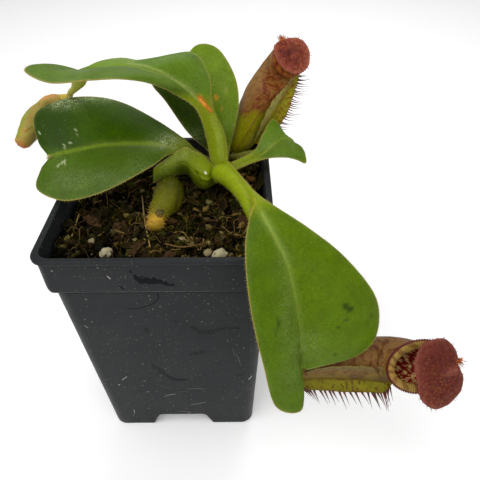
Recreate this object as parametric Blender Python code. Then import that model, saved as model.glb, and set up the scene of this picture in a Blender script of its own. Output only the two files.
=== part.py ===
"""A potted pitcher plant: a deep square nursery pot, its soil and a young plant with five leaves.

Everything is sized in millimetres from the middle of the pot's base, front along -Y, and turned
into metres when a mesh is made. At the end the whole part is shifted so that its origin lies
under the middle of its box.
"""

import math
import random

import bmesh
import bpy
import numpy as np
from mathutils import Vector, noise

MM = 0.001
GAP = 0.3                # clearance between neighbouring pieces

# Pot: a square nursery pot, 3.5 inches across and 5 inches deep.
RIM_WIDTH = 89.0
POT_HEIGHT = 127.0
FLANGE_REACH = 1.5       # how far the rim stands out from the collar
FLANGE_THICK = 1.8
COLLAR_HEIGHT = 17.8
COLLAR_STEP = 1.4        # how far the collar stands out from the body
COLLAR_SLOPE = 2.5       # height of the sloped underside of the collar
BASE_WIDTH = 73.4
WALL = 1.2
POT_CORNER = 6.0
CORNER_STEPS = 5
FOOT_CHAMFER = 0.8
RIM_ROUND = 0.5
NOTCH_HEIGHT = 10.4      # gaps between the feet
NOTCH_WIDTH = 33.0
NOTCH_TOP_WIDTH = 26.0
DRAIN_RADIUS = 4.0
DRAIN_OUT = 19.0         # distance of the outer drain holes from the middle
DRAIN_SIDES = 12

# Soil.
SOIL_TOP = 118.0
SOIL_RINGS = 7
SOIL_SIDE_STEPS = 4      # extra points along each side of the soil
SOIL_RELIEF = 2.6
SOIL_FRONT_RISE = 3.4    # how much higher the soil lies along the front rim

# Plant.
CROWN = (22.5, 12.5, 127.5)
CROWN_RADIUS = 5.0
CROWN_RISE = 6.5         # half its height
STEM_RADIUS = 4.0
STEM_FOOT = 98.0
STEM_SIDES = 16
BLADE = 0.8              # thickness of a leaf blade
BLADE_STEPS = 3          # rows between two cross lines of a leaf
ACROSS = (1.0, 0.78, 0.48, 0.2)
CUP_WALL = 1.1
CUP_SIDES = 20
MOUTH_START = 0.5        # where a cup begins to turn towards its mouth
WING_THICK = 0.7
LID_THICK = 1.0

# Cross lines of the leaves, from the crown to the notch: left margin, rib and right margin.
LEAF_FRONT = (
    ((28, 11, 133), (24, 8.5, 133), (20, 5, 129.5)),
    ((35, -4, 135), (32, -8, 135), (28, -10, 131)),
    ((41, -22, 139), (38, -25, 139), (35, -27, 137)),
    ((55, -34, 132), (43, -39, 134), (33, -41, 134)),
    ((68, -41, 123), (47, -47, 129), (33, -52, 129)),
    ((81, -48, 110), (50, -53, 119), (35, -59, 114)),
    ((82, -54, 97), (52, -57, 108), (39, -66, 96)),
    ((75, -58, 90), (53, -60, 98), (44, -72, 78)),
    ((62, -61, 88), (53, -61, 91), (54, -71, 74)),
    ((56, -62, 87), (54, -62, 88), (54, -63, 86)),
)
LEAF_LEFT = (
    ((17, 6, 127), (18, 11, 131), (18, 16, 132)),
    ((8, 7, 131), (11, 12, 135), (12, 17, 136)),
    ((2, 8, 138), (5, 12, 140), (7, 17, 140)),
    ((-5, 0, 138), (-6, 11, 142), (-5, 22, 145)),
    ((-16, -7, 135), (-18, 10, 143), (-19, 29, 151)),
    ((-27, -11, 132), (-27, 9, 143), (-32, 31, 154)),
    ((-39, -13, 131), (-35, 7, 142), (-45, 29, 154)),
    ((-50, -8, 133), (-41, 6, 141), (-55, 22, 151)),
    ((-50, 0, 137), (-45, 5, 140), (-53, 12, 144)),
    ((-48, 4, 139), (-47, 5, 140), (-48, 6, 140)),
)
LEAF_TOP = (
    ((19, 12, 133), (22, 11, 134), (25, 12, 133)),
    ((17, 14, 144), (21, 14, 145), (25, 17, 143)),
    ((14, 12, 157), (18, 15, 157), (21, 17, 154)),
    ((6, 9, 165), (14, 13, 163), (20, 17, 160)),
    ((0, 1, 172), (8, 11, 169), (19, 22, 167)),
    ((-9, -6, 177), (-1, 8, 174), (12, 28, 174)),
    ((-19, -9, 178), (-12, 9, 176), (-4, 24, 172)),
    ((-33, -6, 176), (-21, 11, 174), (-15, 25, 173)),
    ((-45, 4, 177), (-27, 13, 172), (-24, 23, 173)),
    ((-41, 12.5, 174.5), (-29, 14.5, 172), (-29, 21, 172)),
    ((-33.5, 16.2, 171.5), (-31.5, 16.8, 171.5), (-32.5, 18.5, 171.5)),
)
LEAF_BACK = (
    ((20, 16, 129), (23, 18, 130), (26, 19, 130)),
    ((17, 21, 133), (22, 24, 133), (27, 26, 133)),
    ((9, 19, 143), (19, 26, 141), (29, 27, 141)),
    ((0, 26, 154), (14, 31, 149), (31, 32, 151)),
    ((-6, 31, 160), (10, 36, 157), (29, 40, 160)),
    ((-4, 38, 163), (8, 40, 161), (22, 46, 169)),
    ((2, 42, 163), (6, 42, 162), (13, 48, 170)),
    ((4, 43, 163), (5, 43, 163), (6, 44, 164)),
)
LEAF_RIGHT = (
    ((27, 14, 131), (28, 12, 130), (29, 10, 130)),
    ((33, 14, 134), (34, 12, 133), (36, 10, 133)),
    ((38, 15, 137), (41, 13, 136), (43, 9, 136)),
    ((41, 20, 141), (45, 15, 139), (50, 8, 137)),
    ((45, 26, 145), (47.5, 16, 140.5), (55, 6, 137)),
    ((48, 25, 144), (49.5, 17, 141), (59, 7, 136)),
    ((51, 21, 141), (51.2, 17.8, 141), (57, 13, 137)),
    ((53, 19, 140), (53, 18, 140), (54, 17, 140)),
)
LEAF_LOW = (
    ((19, 4, 126), (18, 9, 128), (17, 12, 129)),
    ((14, 4, 124), (14, 8, 128), (13, 12, 130)),
    ((10, 6, 128), (10, 9, 131), (9, 13, 133)),
    ((4, 5, 130), (4, 7, 133), (4, 12, 135)),
    ((-3, 3, 130), (-2, 5, 133), (-3, 9, 135)),
    ((-5, 2, 130), (-5, 4, 132), (-5, 7, 134)),
)

# Depth of each leaf's keel under its rib, and how far its upper face bulges, along its length.
KEEL_FRONT = (6.5, 6, 4.5, 2.6, 2, 1.8, 1.6, 1.5, 1.6, 2.2)
KEEL_LEFT = (6, 6, 3.6, 2.2, 1.8, 1.6, 1.5, 1.5, 1.4, 1.4)
KEEL_TOP = (4.4, 3.6, 2.2, 1.8, 1.8, 1.7, 1.6, 1.5, 1.4, 1.3, 1.2)
KEEL_BACK = (4, 3.4, 2.4, 2, 1.8, 1.6, 1.5, 1.4)
KEEL_RIGHT = (2.6, 2.4, 2, 1.6, 1.4, 1.3, 1.2, 1.2)
KEEL_LOW = (3, 2.6, 2, 1.6, 1.6, 1.4)
STALK_ARCH = (0.25, 0.25, 0.12, 0.06)

# Tendrils, from a leaf's notch to the foot of its pitcher, with their radii.
TENDRIL_FRONT = ((53, -61, 88.5), (52.5, -61, 84.5), (49.5, -59.5, 82), (47, -57, 79.5))
TENDRIL_FRONT_RADII = (1.3, 1.5, 1.6, 1.6)
TENDRIL_TOP = ((-30, 16, 171), (-34, 23, 163.5), (-39.5, 31.5, 157.5), (-43.5, 35, 153),
               (-48, 38, 150.6))
TENDRIL_TOP_RADII = (2.4, 3.1, 2.1, 1.5, 1.6)
TENDRIL_RIGHT = ((51, 17.5, 140), (54.5, 20, 138.5), (53.5, 25.5, 133.5), (48, 30, 130.4),
                 (42.5, 32, 129.2), (37.5, 33, 124.6), (33.3, 32.3, 122.4))
TENDRIL_RIGHT_RADII = (0.8, 1.1, 1.2, 1.2, 1.2, 1.3, 1.4)

# Pitchers: bent axis from foot to mouth, the wall's radius along it, the way the mouth faces,
# its length over its width, and the way the wing side faces at the foot and at the mouth.
FRONT_AXIS = ((47, -56.5, 79.5), (50, -56, 79), (55, -54.5, 79.5), (64, -53, 80), (74, -52.5, 80),
              (83.5, -52.5, 80.5), (91.5, -54, 81.5), (97, -57.5, 84), (99.1, -60.5, 86.7))
FRONT_RADII = (1.6, 4.4, 6.0, 7.0, 7.8, 8.2, 8.2, 8.1, 8.0)
FRONT_MOUTH = (0.15, -0.66, 0.735)
FRONT_OVAL = 1.54
FRONT_SIDES = ((0, -0.99, 0.14), (-0.98, -0.196, 0.024))
BACK_AXIS = ((33, 32, 122.6), (30, 31.5, 124), (31, 32.5, 129), (36, 36, 139), (42, 38.5, 150),
             (47.5, 41, 158.5), (51, 41.5, 164), (52.8, 37.5, 167.7))
BACK_RADII = (1.5, 3.2, 5.6, 7.4, 8.2, 8.0, 7.5, 6.9)
BACK_MOUTH = (0, -0.88, 0.475)
BACK_OVAL = 1.08
BACK_SIDES = ((0.27, -0.96, -0.05), (0.47, -0.42, -0.78))
LEFT_AXIS = ((-48.5, 37.8, 150.2), (-54, 38, 149.5), (-57.5, 35.5, 147.5), (-60, 30, 144.4),
             (-61.7, 24.8, 141.2), (-63.2, 18.8, 138.9), (-63.9, 17.4, 138))
LEFT_RADII = (2.0, 2.8, 3.6, 4.6, 4.2, 2.6, 1.2)
SMALL_AXIS = ((-0.5, 3, 126.5), (1.5, 2, 125.5), (1.5, -3, 123.8), (-1, -7.5, 122.8),
              (-2.5, -12, 122), (-2.9, -16.5, 121.6), (-2.9, -18.5, 121.3))
SMALL_RADII = (2.6, 5.2, 5.4, 4.6, 4.1, 3.6, 2.0)

# Wings: angle round the cup, start and end along it, width, lean, bristles and their length.
FRONT_WINGS = ((0.56, 0.14, 0.78, 4.2, 0.44, 12, 3.6), (-0.1, 0.25, 0.76, 4.0, -1.3, 9, 1.2))
BACK_WINGS = ((0.6, 0.34, 0.9, 5.0, 0.35, 12, 3.4), (0.05, 0.3, 0.7, 4.2, -1.1, 9, 1.2))

# Lips: how far they stand out from the cup's rim, how high they rise and their clearances.
FRONT_LIP = 2.0
BACK_LIP = 1.2
LIP_RISE = 1.6
LIP_SEAT = 0.35
NECK_RISE = 2.9          # height over the rim where the lid's neck ends

# Lids: hinge point, the way ahead, the way up, and height of the dome and length of the spur.
FRONT_HINGE = ((114.9, -60.3, 89.5), (-0.915, -0.35, 0.2), (0.383, -0.594, 0.708))
FRONT_DOME = 2.0
FRONT_SPUR = 4.5
BACK_HINGE = ((48.6, 37.9, 176.4), (0.455, -0.62, -0.639), (-0.114, -0.752, 0.649))
BACK_DOME = 1.5
BACK_SPUR = 3.0

# Lid outlines from the notch at the hinge and round to it again, as (ahead, sideways).
FRONT_LID = ((1.5, 0.7), (1.2, -4), (4.6, -8.6), (11.3, -9.8), (17.8, -8), (21.5, -3.5), (22.3, 2),
             (21.6, 8.5), (18.1, 13.5), (11.5, 14.9), (5.6, 12.8), (1.4, 9), (0.4, 4.6), (1.5, 0.7))
BACK_LID = ((1, -0.4), (0.7, -2.8), (2.4, -4.9), (5.6, -5.8), (10, -5.7), (14, -4), (16.8, 0), (16.2, 3.6),
            (13.6, 6.3), (9.4, 7.7), (5.7, 7.2), (2.9, 4.8), (1.5, 1.8), (1, -0.4))

# Stones and bark pieces in the soil: x, y and size.
STONES = ((-19.3, -33.6, 2.6), (23.6, -36, 2.9), (19, -35, 1.8), (-26, -27, 1.9), (8, -24, 1.8))
BARKS = ((-30, -12, 4.2), (-8, -30, 3.6), (4, -35, 3.2), (-18, -16, 3.4), (33, -16, 3.8),
         (20, -12, 3.0), (-33, 30, 4.0))

random.seed(7)


def clear_scene():
    """Start from an empty scene."""
    for obj in list(bpy.data.objects):
        bpy.data.objects.remove(obj, do_unlink=True)


def material(name, colour, roughness):
    """One Principled material."""
    mat = bpy.data.materials.new(name)
    mat.use_nodes = True
    shader = mat.node_tree.nodes["Principled BSDF"]
    shader.inputs["Base Color"].default_value = (*colour, 1.0)
    shader.inputs["Roughness"].default_value = roughness
    shader.inputs["Metallic"].default_value = 0.0
    return mat


def spline(points, where):
    """A smooth curve through the points, read at places from 0 to 1 along it."""
    points = np.asarray(points, float)
    flat = points.reshape(len(points), -1)
    last = len(flat) - 1
    padded = np.vstack([2 * flat[0] - flat[1], flat, 2 * flat[-1] - flat[-2]])
    at = np.clip(np.asarray(where, float), 0, 1) * last
    first = np.minimum(at.astype(int), last - 1)
    f = (at - first)[:, None]
    a, b, c, d = (padded[first + i] for i in range(4))
    curve = 2 * b + (c - a) * f
    curve = curve + (2 * a - 5 * b + 4 * c - d) * f ** 2
    curve = curve + (3 * b - a - 3 * c + d) * f ** 3
    return (curve / 2).reshape(len(at), *points.shape[1:])


def unit(v):
    """Vectors scaled to length one."""
    v = np.asarray(v, float)
    return v / np.maximum(np.linalg.norm(v, axis=-1, keepdims=True), 1e-9)


def triangles(faces):
    """Split quads into triangles, always along the same diagonal."""
    out = []
    for face in faces:
        out.append(tuple(face[:3]))
        if len(face) == 4:
            out.append((face[0], face[2], face[3]))
    return out


def solid(name, points, faces, mat=None):
    """An object from a closed mesh in millimetres, with its faces turned outwards."""
    points = np.asarray(points, float)
    faces = triangles(faces)
    corners = points[np.array(faces)]
    volume = np.einsum("ij,ij->i", corners[:, 0], np.cross(corners[:, 1], corners[:, 2])).sum()
    if volume < 0:
        faces = [tuple(reversed(face)) for face in faces]
    mesh = bpy.data.meshes.new(name)
    mesh.from_pydata([tuple(p * MM) for p in points], [], faces)
    mesh.validate()
    obj = bpy.data.objects.new(name, mesh)
    bpy.context.scene.collection.objects.link(obj)
    if mat is not None:
        mesh.materials.append(mat)
    return obj


def loft(rings):
    """Points and faces of a closed body from rings of equal length, capped at both ends."""
    rings = np.asarray(rings, float)
    count, sides = rings.shape[:2]
    points = list(rings.reshape(-1, 3))
    faces = []
    for i in range(count - 1):
        for j in range(sides):
            k = (j + 1) % sides
            faces.append((i * sides + j, i * sides + k, (i + 1) * sides + k, (i + 1) * sides + j))
    for row in (0, count - 1):
        points.append(rings[row].mean(axis=0))
        middle = len(points) - 1
        for j in range(sides):
            a = row * sides + j
            b = row * sides + (j + 1) % sides
            faces.append((middle, b, a) if row == 0 else (middle, a, b))
    return points, faces


def apply_boolean(obj, operation, other=None, collection=None):
    """Apply one exact Boolean to an object's mesh."""
    mod = obj.modifiers.new("cut", "BOOLEAN")
    mod.operation = operation
    mod.solver = "EXACT"
    if collection is not None:
        mod.operand_type = "COLLECTION"
        mod.collection = collection
    else:
        mod.object = other
    bpy.context.view_layer.update()
    graph = bpy.context.evaluated_depsgraph_get()
    mesh = bpy.data.meshes.new_from_object(obj.evaluated_get(graph))
    obj.modifiers.clear()
    old = obj.data
    obj.data = mesh
    mesh.name = old.name
    bpy.data.meshes.remove(old)


def combine(obj, extras, operation="UNION"):
    """Join the extras to an object, or cut them from it, and remove them."""
    group = bpy.data.collections.new("extras")
    for extra in extras:
        group.objects.link(extra)
    apply_boolean(obj, operation, collection=group)
    for extra in extras:
        mesh = extra.data
        bpy.data.objects.remove(extra, do_unlink=True)
        bpy.data.meshes.remove(mesh)
    bpy.data.collections.remove(group)


def keep_largest(obj):
    """Drop the small scraps that a cut leaves loose."""
    bm = bmesh.new()
    bm.from_mesh(obj.data)
    seen = set()
    groups = []
    for start in bm.verts:
        if start in seen:
            continue
        stack = [start]
        seen.add(start)
        group = []
        while stack:
            vert = stack.pop()
            group.append(vert)
            for edge in vert.link_edges:
                other = edge.other_vert(vert)
                if other not in seen:
                    seen.add(other)
                    stack.append(other)
        groups.append(group)
    groups.sort(key=len, reverse=True)
    for group in groups[1:]:
        bmesh.ops.delete(bm, geom=group, context="VERTS")
    bm.to_mesh(obj.data)
    bm.free()


def rounded_square(half, corner, height, side_steps=1):
    """One level of the pot: a square with round corners."""
    ring = []
    for quarter in range(4):
        turn = quarter * math.pi / 2
        middle = (half - corner) * math.sqrt(2)
        cx = middle * math.cos(turn + math.pi / 4)
        cy = middle * math.sin(turn + math.pi / 4)
        for step in range(CORNER_STEPS + 1):
            angle = turn + step / CORNER_STEPS * math.pi / 2
            ring.append((cx + corner * math.cos(angle), cy + corner * math.sin(angle), height))
        x, y, _ = ring[-1]
        run = 2 * (half - corner) / side_steps
        for step in range(1, side_steps):
            ring.append((x - run * step * math.cos(turn), y - run * step * math.sin(turn), height))
    return ring


def body_half(height):
    """Half the outer width of the pot's tapering body at a height."""
    top = RIM_WIDTH / 2 - FLANGE_REACH - COLLAR_STEP
    return BASE_WIDTH / 2 + (top - BASE_WIDTH / 2) * height / (POT_HEIGHT - COLLAR_HEIGHT)


def collar_half(height):
    """Half the outer width of the collar, which tapers a little."""
    return RIM_WIDTH / 2 - FLANGE_REACH - 0.03 * (POT_HEIGHT - height)


def channel(name, bottom, top, z0, z1, reach, along):
    """A trapezoid bar across the pot's base."""
    rings = []
    for side in (-reach, reach):
        ring = [(-bottom / 2, z0), (bottom / 2, z0), (top / 2, z1), (-top / 2, z1)]
        rings.append([(side, w, z) if along == "x" else (w, side, z) for w, z in ring])
    return solid(name, *loft(rings))


def make_pot(mat):
    """The pot: tapering body, collar, flat rim, four hollow feet and drain holes."""
    corner = POT_CORNER
    collar_low = POT_HEIGHT - COLLAR_HEIGHT
    flange_low = POT_HEIGHT - FLANGE_THICK
    half = RIM_WIDTH / 2
    outer = [
        rounded_square(body_half(0) - FOOT_CHAMFER, corner, 0),
        rounded_square(body_half(1), corner, 1),
        rounded_square(body_half(collar_low), corner, collar_low),
        rounded_square(collar_half(collar_low) - 0.3, corner, collar_low + COLLAR_SLOPE),
        rounded_square(collar_half(flange_low), corner, flange_low),
        rounded_square(half - 0.3, corner, flange_low),
        rounded_square(half, corner, flange_low + RIM_ROUND),
        rounded_square(half, corner, POT_HEIGHT - RIM_ROUND),
        rounded_square(half - RIM_ROUND, corner, POT_HEIGHT),
    ]
    inner_corner = corner - WALL
    inner = [
        rounded_square(collar_half(POT_HEIGHT) - WALL, inner_corner, POT_HEIGHT),
        rounded_square(collar_half(collar_low) - WALL, inner_corner, collar_low + COLLAR_SLOPE),
        rounded_square(body_half(collar_low) - WALL, inner_corner, collar_low),
        rounded_square(body_half(0) - WALL, inner_corner, WALL),
    ]
    pot = solid("pot", *loft(outer + inner), mat)
    for way in "xy":
        ridge = channel("ridge", NOTCH_WIDTH + 2 * WALL, NOTCH_TOP_WIDTH + 2 * WALL,
                        WALL / 2, NOTCH_HEIGHT + WALL, body_half(0) - WALL / 2, way)
        combine(pot, [ridge])
    for way in "xy":
        notch = channel("notch", NOTCH_WIDTH, NOTCH_TOP_WIDTH, -1, NOTCH_HEIGHT, BASE_WIDTH, way)
        combine(pot, [notch], "DIFFERENCE")
    drains = [(0, 0)] + [(DRAIN_OUT * math.cos(a), DRAIN_OUT * math.sin(a))
                         for a in (0, math.pi / 2, math.pi, 1.5 * math.pi)]
    holes = []
    for x, y in drains:
        rings = [[(x + DRAIN_RADIUS * math.cos(a), y + DRAIN_RADIUS * math.sin(a), z)
                  for a in np.arange(DRAIN_SIDES) * 2 * math.pi / DRAIN_SIDES]
                 for z in (NOTCH_HEIGHT / 2, NOTCH_HEIGHT + 4 * WALL)]
        holes.append(solid("drain", *loft(rings)))
    combine(pot, holes, "DIFFERENCE")
    return pot


def ground(x, y):
    """Height of the soil's lumpy top."""
    lumps = noise.noise(Vector((x * 0.11, y * 0.11, 3.1)))
    crumbs = noise.noise(Vector((x * 0.31, y * 0.31, 8.7)))
    front = max(0.0, -y) / 40
    return SOIL_TOP + SOIL_RELIEF * (lumps + 0.6 * crumbs) + SOIL_FRONT_RISE * front


def make_soil(mat):
    """The soil: it fills the pot, with a lumpy top."""
    half = body_half(NOTCH_HEIGHT) - WALL - GAP
    corner = POT_CORNER - WALL
    floor = NOTCH_HEIGHT + WALL + GAP
    collar_low = POT_HEIGHT - COLLAR_HEIGHT
    low = body_half(collar_low) - WALL - GAP
    rings = [
        rounded_square(half, corner, floor, SOIL_SIDE_STEPS),
        rounded_square(low, corner, collar_low, SOIL_SIDE_STEPS),
    ]
    edge = np.array(rounded_square(low + 0.5, corner, 0, SOIL_SIDE_STEPS))
    for ring in range(SOIL_RINGS):
        scale = 1 - ring / SOIL_RINGS
        rings.append([(x * scale, y * scale, ground(x * scale, y * scale)) for x, y, _ in edge])
    return solid("soil", *loft(rings), mat)


def leaf_grid(rows, arch, steps=BLADE_STEPS):
    """Upper surface of a leaf, rows of points from left margin to right, and the way up."""
    lines = spline(rows, np.linspace(0, 1, steps * (len(rows) - 1) + 1))
    bulges = np.array(STALK_ARCH + (arch,) * (len(rows) - len(STALK_ARCH)))[:, None]
    bulges = spline(bulges, np.linspace(0, 1, len(lines)))
    rib = lines[:, 1]
    ahead = unit(np.gradient(rib, axis=0))
    side = unit(lines[:, 2] - lines[:, 0])
    up = unit(np.cross(side, ahead))
    up[-steps - 1:] = up[-steps - 2]
    grid = []
    for sign, edge in ((-1, lines[:, 0]), (1, lines[:, 2])):
        width = np.linalg.norm(edge - rib, axis=1, keepdims=True)
        for f in (ACROSS if sign < 0 else ACROSS[::-1]):
            bulge = bulges * 4 * f * (1 - f) * width * up
            grid.append(rib + (edge - rib) * f + bulge)
        if sign < 0:
            grid.append(rib)
    return np.stack(grid, axis=1), up[:, None]


def leaf_solid(name, rows, depths, mat, arch=0.06, spread=3.0, steps=BLADE_STEPS):
    """A leaf with its stalk: a thin blade with a keel under its rib, one closed body."""
    top, up = leaf_grid(rows, arch, steps)
    count, wide = top.shape[:2]
    along = np.gradient(top, axis=0)
    across = np.gradient(top, axis=1)
    normal = unit(np.cross(across, along))
    normal = np.where((normal * up).sum(axis=2, keepdims=True) > 0.35, normal, up)
    normal[-steps - 1:] = up[-1]
    middle = wide // 2
    out = np.linalg.norm(top - top[:, middle:middle + 1], axis=2)
    keel = spline(np.array(depths, float)[:, None], np.linspace(0, 1, count))
    rib = (keel - BLADE) * np.exp(-(out / spread) ** 2)
    under = top - normal * BLADE - up * rib[..., None]
    points = np.concatenate([top.reshape(-1, 3), under.reshape(-1, 3)])
    lower = count * wide
    faces = []
    for i in range(count - 1):
        for j in range(wide - 1):
            a = i * wide + j
            quad = (a, a + 1, a + wide + 1, a + wide)
            faces.append(quad)
            low = [lower + k for k in quad]
            faces.append((low[0], low[2], low[1]))
            faces.append((low[0], low[3], low[2]))
        for j, turn in ((0, 1), (wide - 1, -1)):
            a = i * wide + j
            side = (a, a + wide, lower + a + wide, lower + a)
            faces.append(side[::turn])
    for i, turn in ((0, 1), (count - 1, -1)):
        for j in range(wide - 1):
            a = i * wide + j
            end = (a, lower + a, lower + a + 1, a + 1)
            faces.append(end[::turn])
    return solid(name, points, faces, mat)


def carried_frames(path, start):
    """Directions along a path, with a side vector carried along without twist."""
    ahead = unit(np.gradient(path, axis=0))
    sides = []
    side = np.asarray(start, float)
    for t in ahead:
        side = unit(side - t * side.dot(t))
        sides.append(side)
    sides = np.array(sides)
    return ahead, sides, np.cross(ahead, sides)


def tube(name, points, radii, sides, steps, mat=None, start=(0, 0, 1)):
    """A round stem through the points, with a radius for each point."""
    where = np.linspace(0, 1, steps)
    path = spline(points, where)
    radius = spline(np.array(radii, float)[:, None], where)[:, 0]
    _, u, v = carried_frames(path, start)
    angles = np.arange(sides) * 2 * math.pi / sides
    rings = [[path[i] + radius[i] * (math.cos(a) * u[i] + math.sin(a) * v[i]) for a in angles]
             for i in range(steps)]
    return solid(name, *loft(rings), mat)


def make_crown(mat):
    """The short stem, which stands in the soil, and the crown where the stalks meet."""
    x, y, z = CROWN
    levels = [(STEM_FOOT, STEM_RADIUS * 0.6), (STEM_FOOT + STEM_RADIUS, STEM_RADIUS),
              (z - 6, STEM_RADIUS)]
    for step in range(1, 8):
        lift = -0.55 + step / 7 * 1.5
        levels.append((z + CROWN_RISE * lift, CROWN_RADIUS * math.sqrt(max(0.02, 1 - lift ** 2))))
    angles = np.arange(STEM_SIDES) * 2 * math.pi / STEM_SIDES
    rings = [[(x + radius * math.cos(a), y + radius * math.sin(a), height) for a in angles]
             for height, radius in levels]
    return solid("crown", *loft(rings), mat)


class Pitcher:
    """The measures of one pitcher: its bent axis, radii, mouth plane and wing side."""

    def __init__(self, name, axis, radii, mouth, fronts, oval=1.0, steps=17):
        self.name = name
        self.where = np.linspace(0, 1, steps)
        self.path = spline(axis, self.where)
        self.radius = spline(np.array(radii, float)[:, None], self.where)[:, 0]
        ahead = unit(np.gradient(self.path, axis=0))
        turn = np.clip((self.where - MOUTH_START) / (1 - MOUTH_START), 0, 1)[:, None]
        turn = turn * turn * (3 - 2 * turn)
        self.normal = unit(ahead * (1 - turn) + unit(mouth) * turn)
        front = unit(fronts[0]) * (1 - turn) + unit(fronts[1]) * turn
        self.front = unit(front - self.normal * (self.normal * front).sum(axis=1, keepdims=True))
        self.side = np.cross(self.normal, self.front)
        self.oval = 1 + (oval - 1) * turn[:, 0]

    def ring(self, index, inset=0.0, sides=CUP_SIDES):
        """Points round the wall at one station, starting on the wing side."""
        radius = self.radius[index] - inset
        return [self.spot(index, a, radius) for a in np.arange(sides) * 2 * math.pi / sides]

    def spot(self, index, angle, radius):
        """A point at an angle and distance from the axis."""
        reach = radius + (self.oval[index] - 1) * self.radius[index]
        along = reach * math.cos(angle) * self.front[index]
        return self.path[index] + along + radius * math.sin(angle) * self.side[index]

    def rim_point(self, angle, out, up):
        """A point near the mouth, at a distance from its middle and above its plane."""
        return self.spot(-1, angle, out) + up * self.normal[-1]


def cup_rings(pitcher, floor):
    """The outside of a cup from its foot to its mouth, then its inside down to its floor."""
    outer = np.array([pitcher.ring(i) for i in range(len(pitcher.where))])
    around = np.roll(outer, -1, axis=1) - np.roll(outer, 1, axis=1)
    out = unit(np.cross(around, np.gradient(outer, axis=0)))
    inner = outer - out * CUP_WALL
    inner[-1] = pitcher.ring(-1, CUP_WALL)
    return np.concatenate([outer, inner[:floor - 1:-1]])


def wing(pitcher, angle, first, last, width, lean, bristles, length, name):
    """One fringed wing: a thin fin down the wall with three-sided bristles on its edge."""
    segments = 2 * bristles + 1
    where = np.linspace(first, last, segments + 1) * (len(pitcher.where) - 1)
    low = np.minimum(where.astype(int), len(pitcher.where) - 2)
    f = (where - low)[:, None]

    def between(values):
        return values[low] * (1 - f) + values[low + 1] * f

    path = between(pitcher.path)
    radius = between(pitcher.radius[:, None])
    front = unit(between(pitcher.front))
    side = unit(between(pitcher.side))
    normal = unit(between(pitcher.normal))
    radial = math.cos(angle) * front + math.sin(angle) * side
    away = math.cos(angle + lean) * front + math.sin(angle + lean) * side
    spread = np.sin(np.linspace(0.12, 0.9, segments + 1) * math.pi)[:, None] ** 0.6
    root = path + radial * (radius - 0.6)
    edge = path + radial * radius + away * width * spread
    thick = unit(np.cross(normal, away)) * WING_THICK / 2
    points = np.stack([root - thick, edge - thick, edge + thick, root + thick], axis=1)
    points = list(points.reshape(-1, 3))
    faces = []
    for i in range(segments):
        a = 4 * i
        faces.append((a, a + 1, a + 5, a + 4))
        faces.append((a + 2, a + 3, a + 7, a + 6))
        faces.append((a + 3, a, a + 4, a + 7))
        if i % 2 == 0:
            faces.append((a + 1, a + 2, a + 6, a + 5))
            continue
        slant = unit(away[i] - 0.25 * normal[i])
        points.append((edge[i] + edge[i + 1]) / 2 + slant * length * spread[i])
        tip = len(points) - 1
        ring = (a + 1, a + 2, a + 6, a + 5)
        faces.extend((ring[k], ring[(k + 1) % 4], tip) for k in range(4))
    end = 4 * segments
    faces.append((3, 2, 1, 0))
    faces.append((end, end + 1, end + 2, end + 3))
    return solid(name, points, faces)


def make_cup(pitcher, floor, wings, mat):
    """An open pitcher cup with its two fringed wings, one closed body."""
    cup = solid(pitcher.name, *loft(cup_rings(pitcher, floor)), mat)
    combine(cup, [wing(pitcher, *measures, name="wing") for measures in wings])
    return cup


def make_lip(pitcher, name, width, mat, steps=32):
    """The rolled lip round the mouth, just clear of the cup's rim."""
    rim = pitcher.radius[-1]
    inner = rim - CUP_WALL - LIP_SEAT
    outer = rim + width
    profile = ((inner, LIP_SEAT), (inner + 0.4, 0.7 * LIP_RISE), (rim + 0.1, LIP_RISE),
               (outer - 0.5, LIP_RISE - 0.2), (outer, LIP_RISE / 2), (outer - 0.5, LIP_SEAT))
    rings = []
    for angle in np.arange(steps) * 2 * math.pi / steps:
        rings.append([pitcher.rim_point(angle, out, up) for out, up in profile])
    sides = len(profile)
    points = np.array(rings).reshape(-1, 3)
    faces = []
    for i in range(steps):
        for j in range(sides):
            a, b = i * sides, ((i + 1) % steps) * sides
            k = (j + 1) % sides
            faces.append((a + j, a + k, b + k, b + j))
    return solid(name, points, faces, mat)


def make_lid(name, place, outline, dome, seat, spur, mat, steps=28):
    """A domed lid with a short neck down to the lip and a spur at its back."""
    hinge, ahead, up = place
    ahead = unit(ahead)
    up = unit(np.asarray(up, float) - ahead * np.dot(up, ahead))
    side = np.cross(up, ahead)
    outline = spline(outline, np.linspace(0, 1, steps + 1))[:-1]
    middle = outline.mean(axis=0)
    reach = np.linalg.norm(outline - middle, axis=1).max()
    hinge = np.asarray(hinge, float)
    rings = []
    for lower, scales in ((0, (0.3, 0.6, 0.85, 1.0)), (1, (1.0, 0.85, 0.6, 0.3))):
        for scale in scales:
            flat = middle + (outline - middle) * scale
            drop = dome * (np.linalg.norm(flat - middle, axis=1) / reach) ** 2
            drop = drop + lower * LID_THICK
            rings.append(hinge + flat[:, :1] * ahead + flat[:, 1:] * side - drop[:, None] * up)
    lid = solid(name, *loft(rings), mat)
    start = hinge + ahead * 3.5 - up * (0.7 * dome + 0.5)
    neck = tube("neck", (start, (start + seat) / 2, seat), (1.2, 1.0, 0.9), 8, 4)
    tail = tube("spur", (start, start - ahead * spur * 0.6, start - ahead * spur), (1.2, 0.9, 0.3), 6, 4)
    combine(lid, [neck, tail])
    return lid


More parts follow.
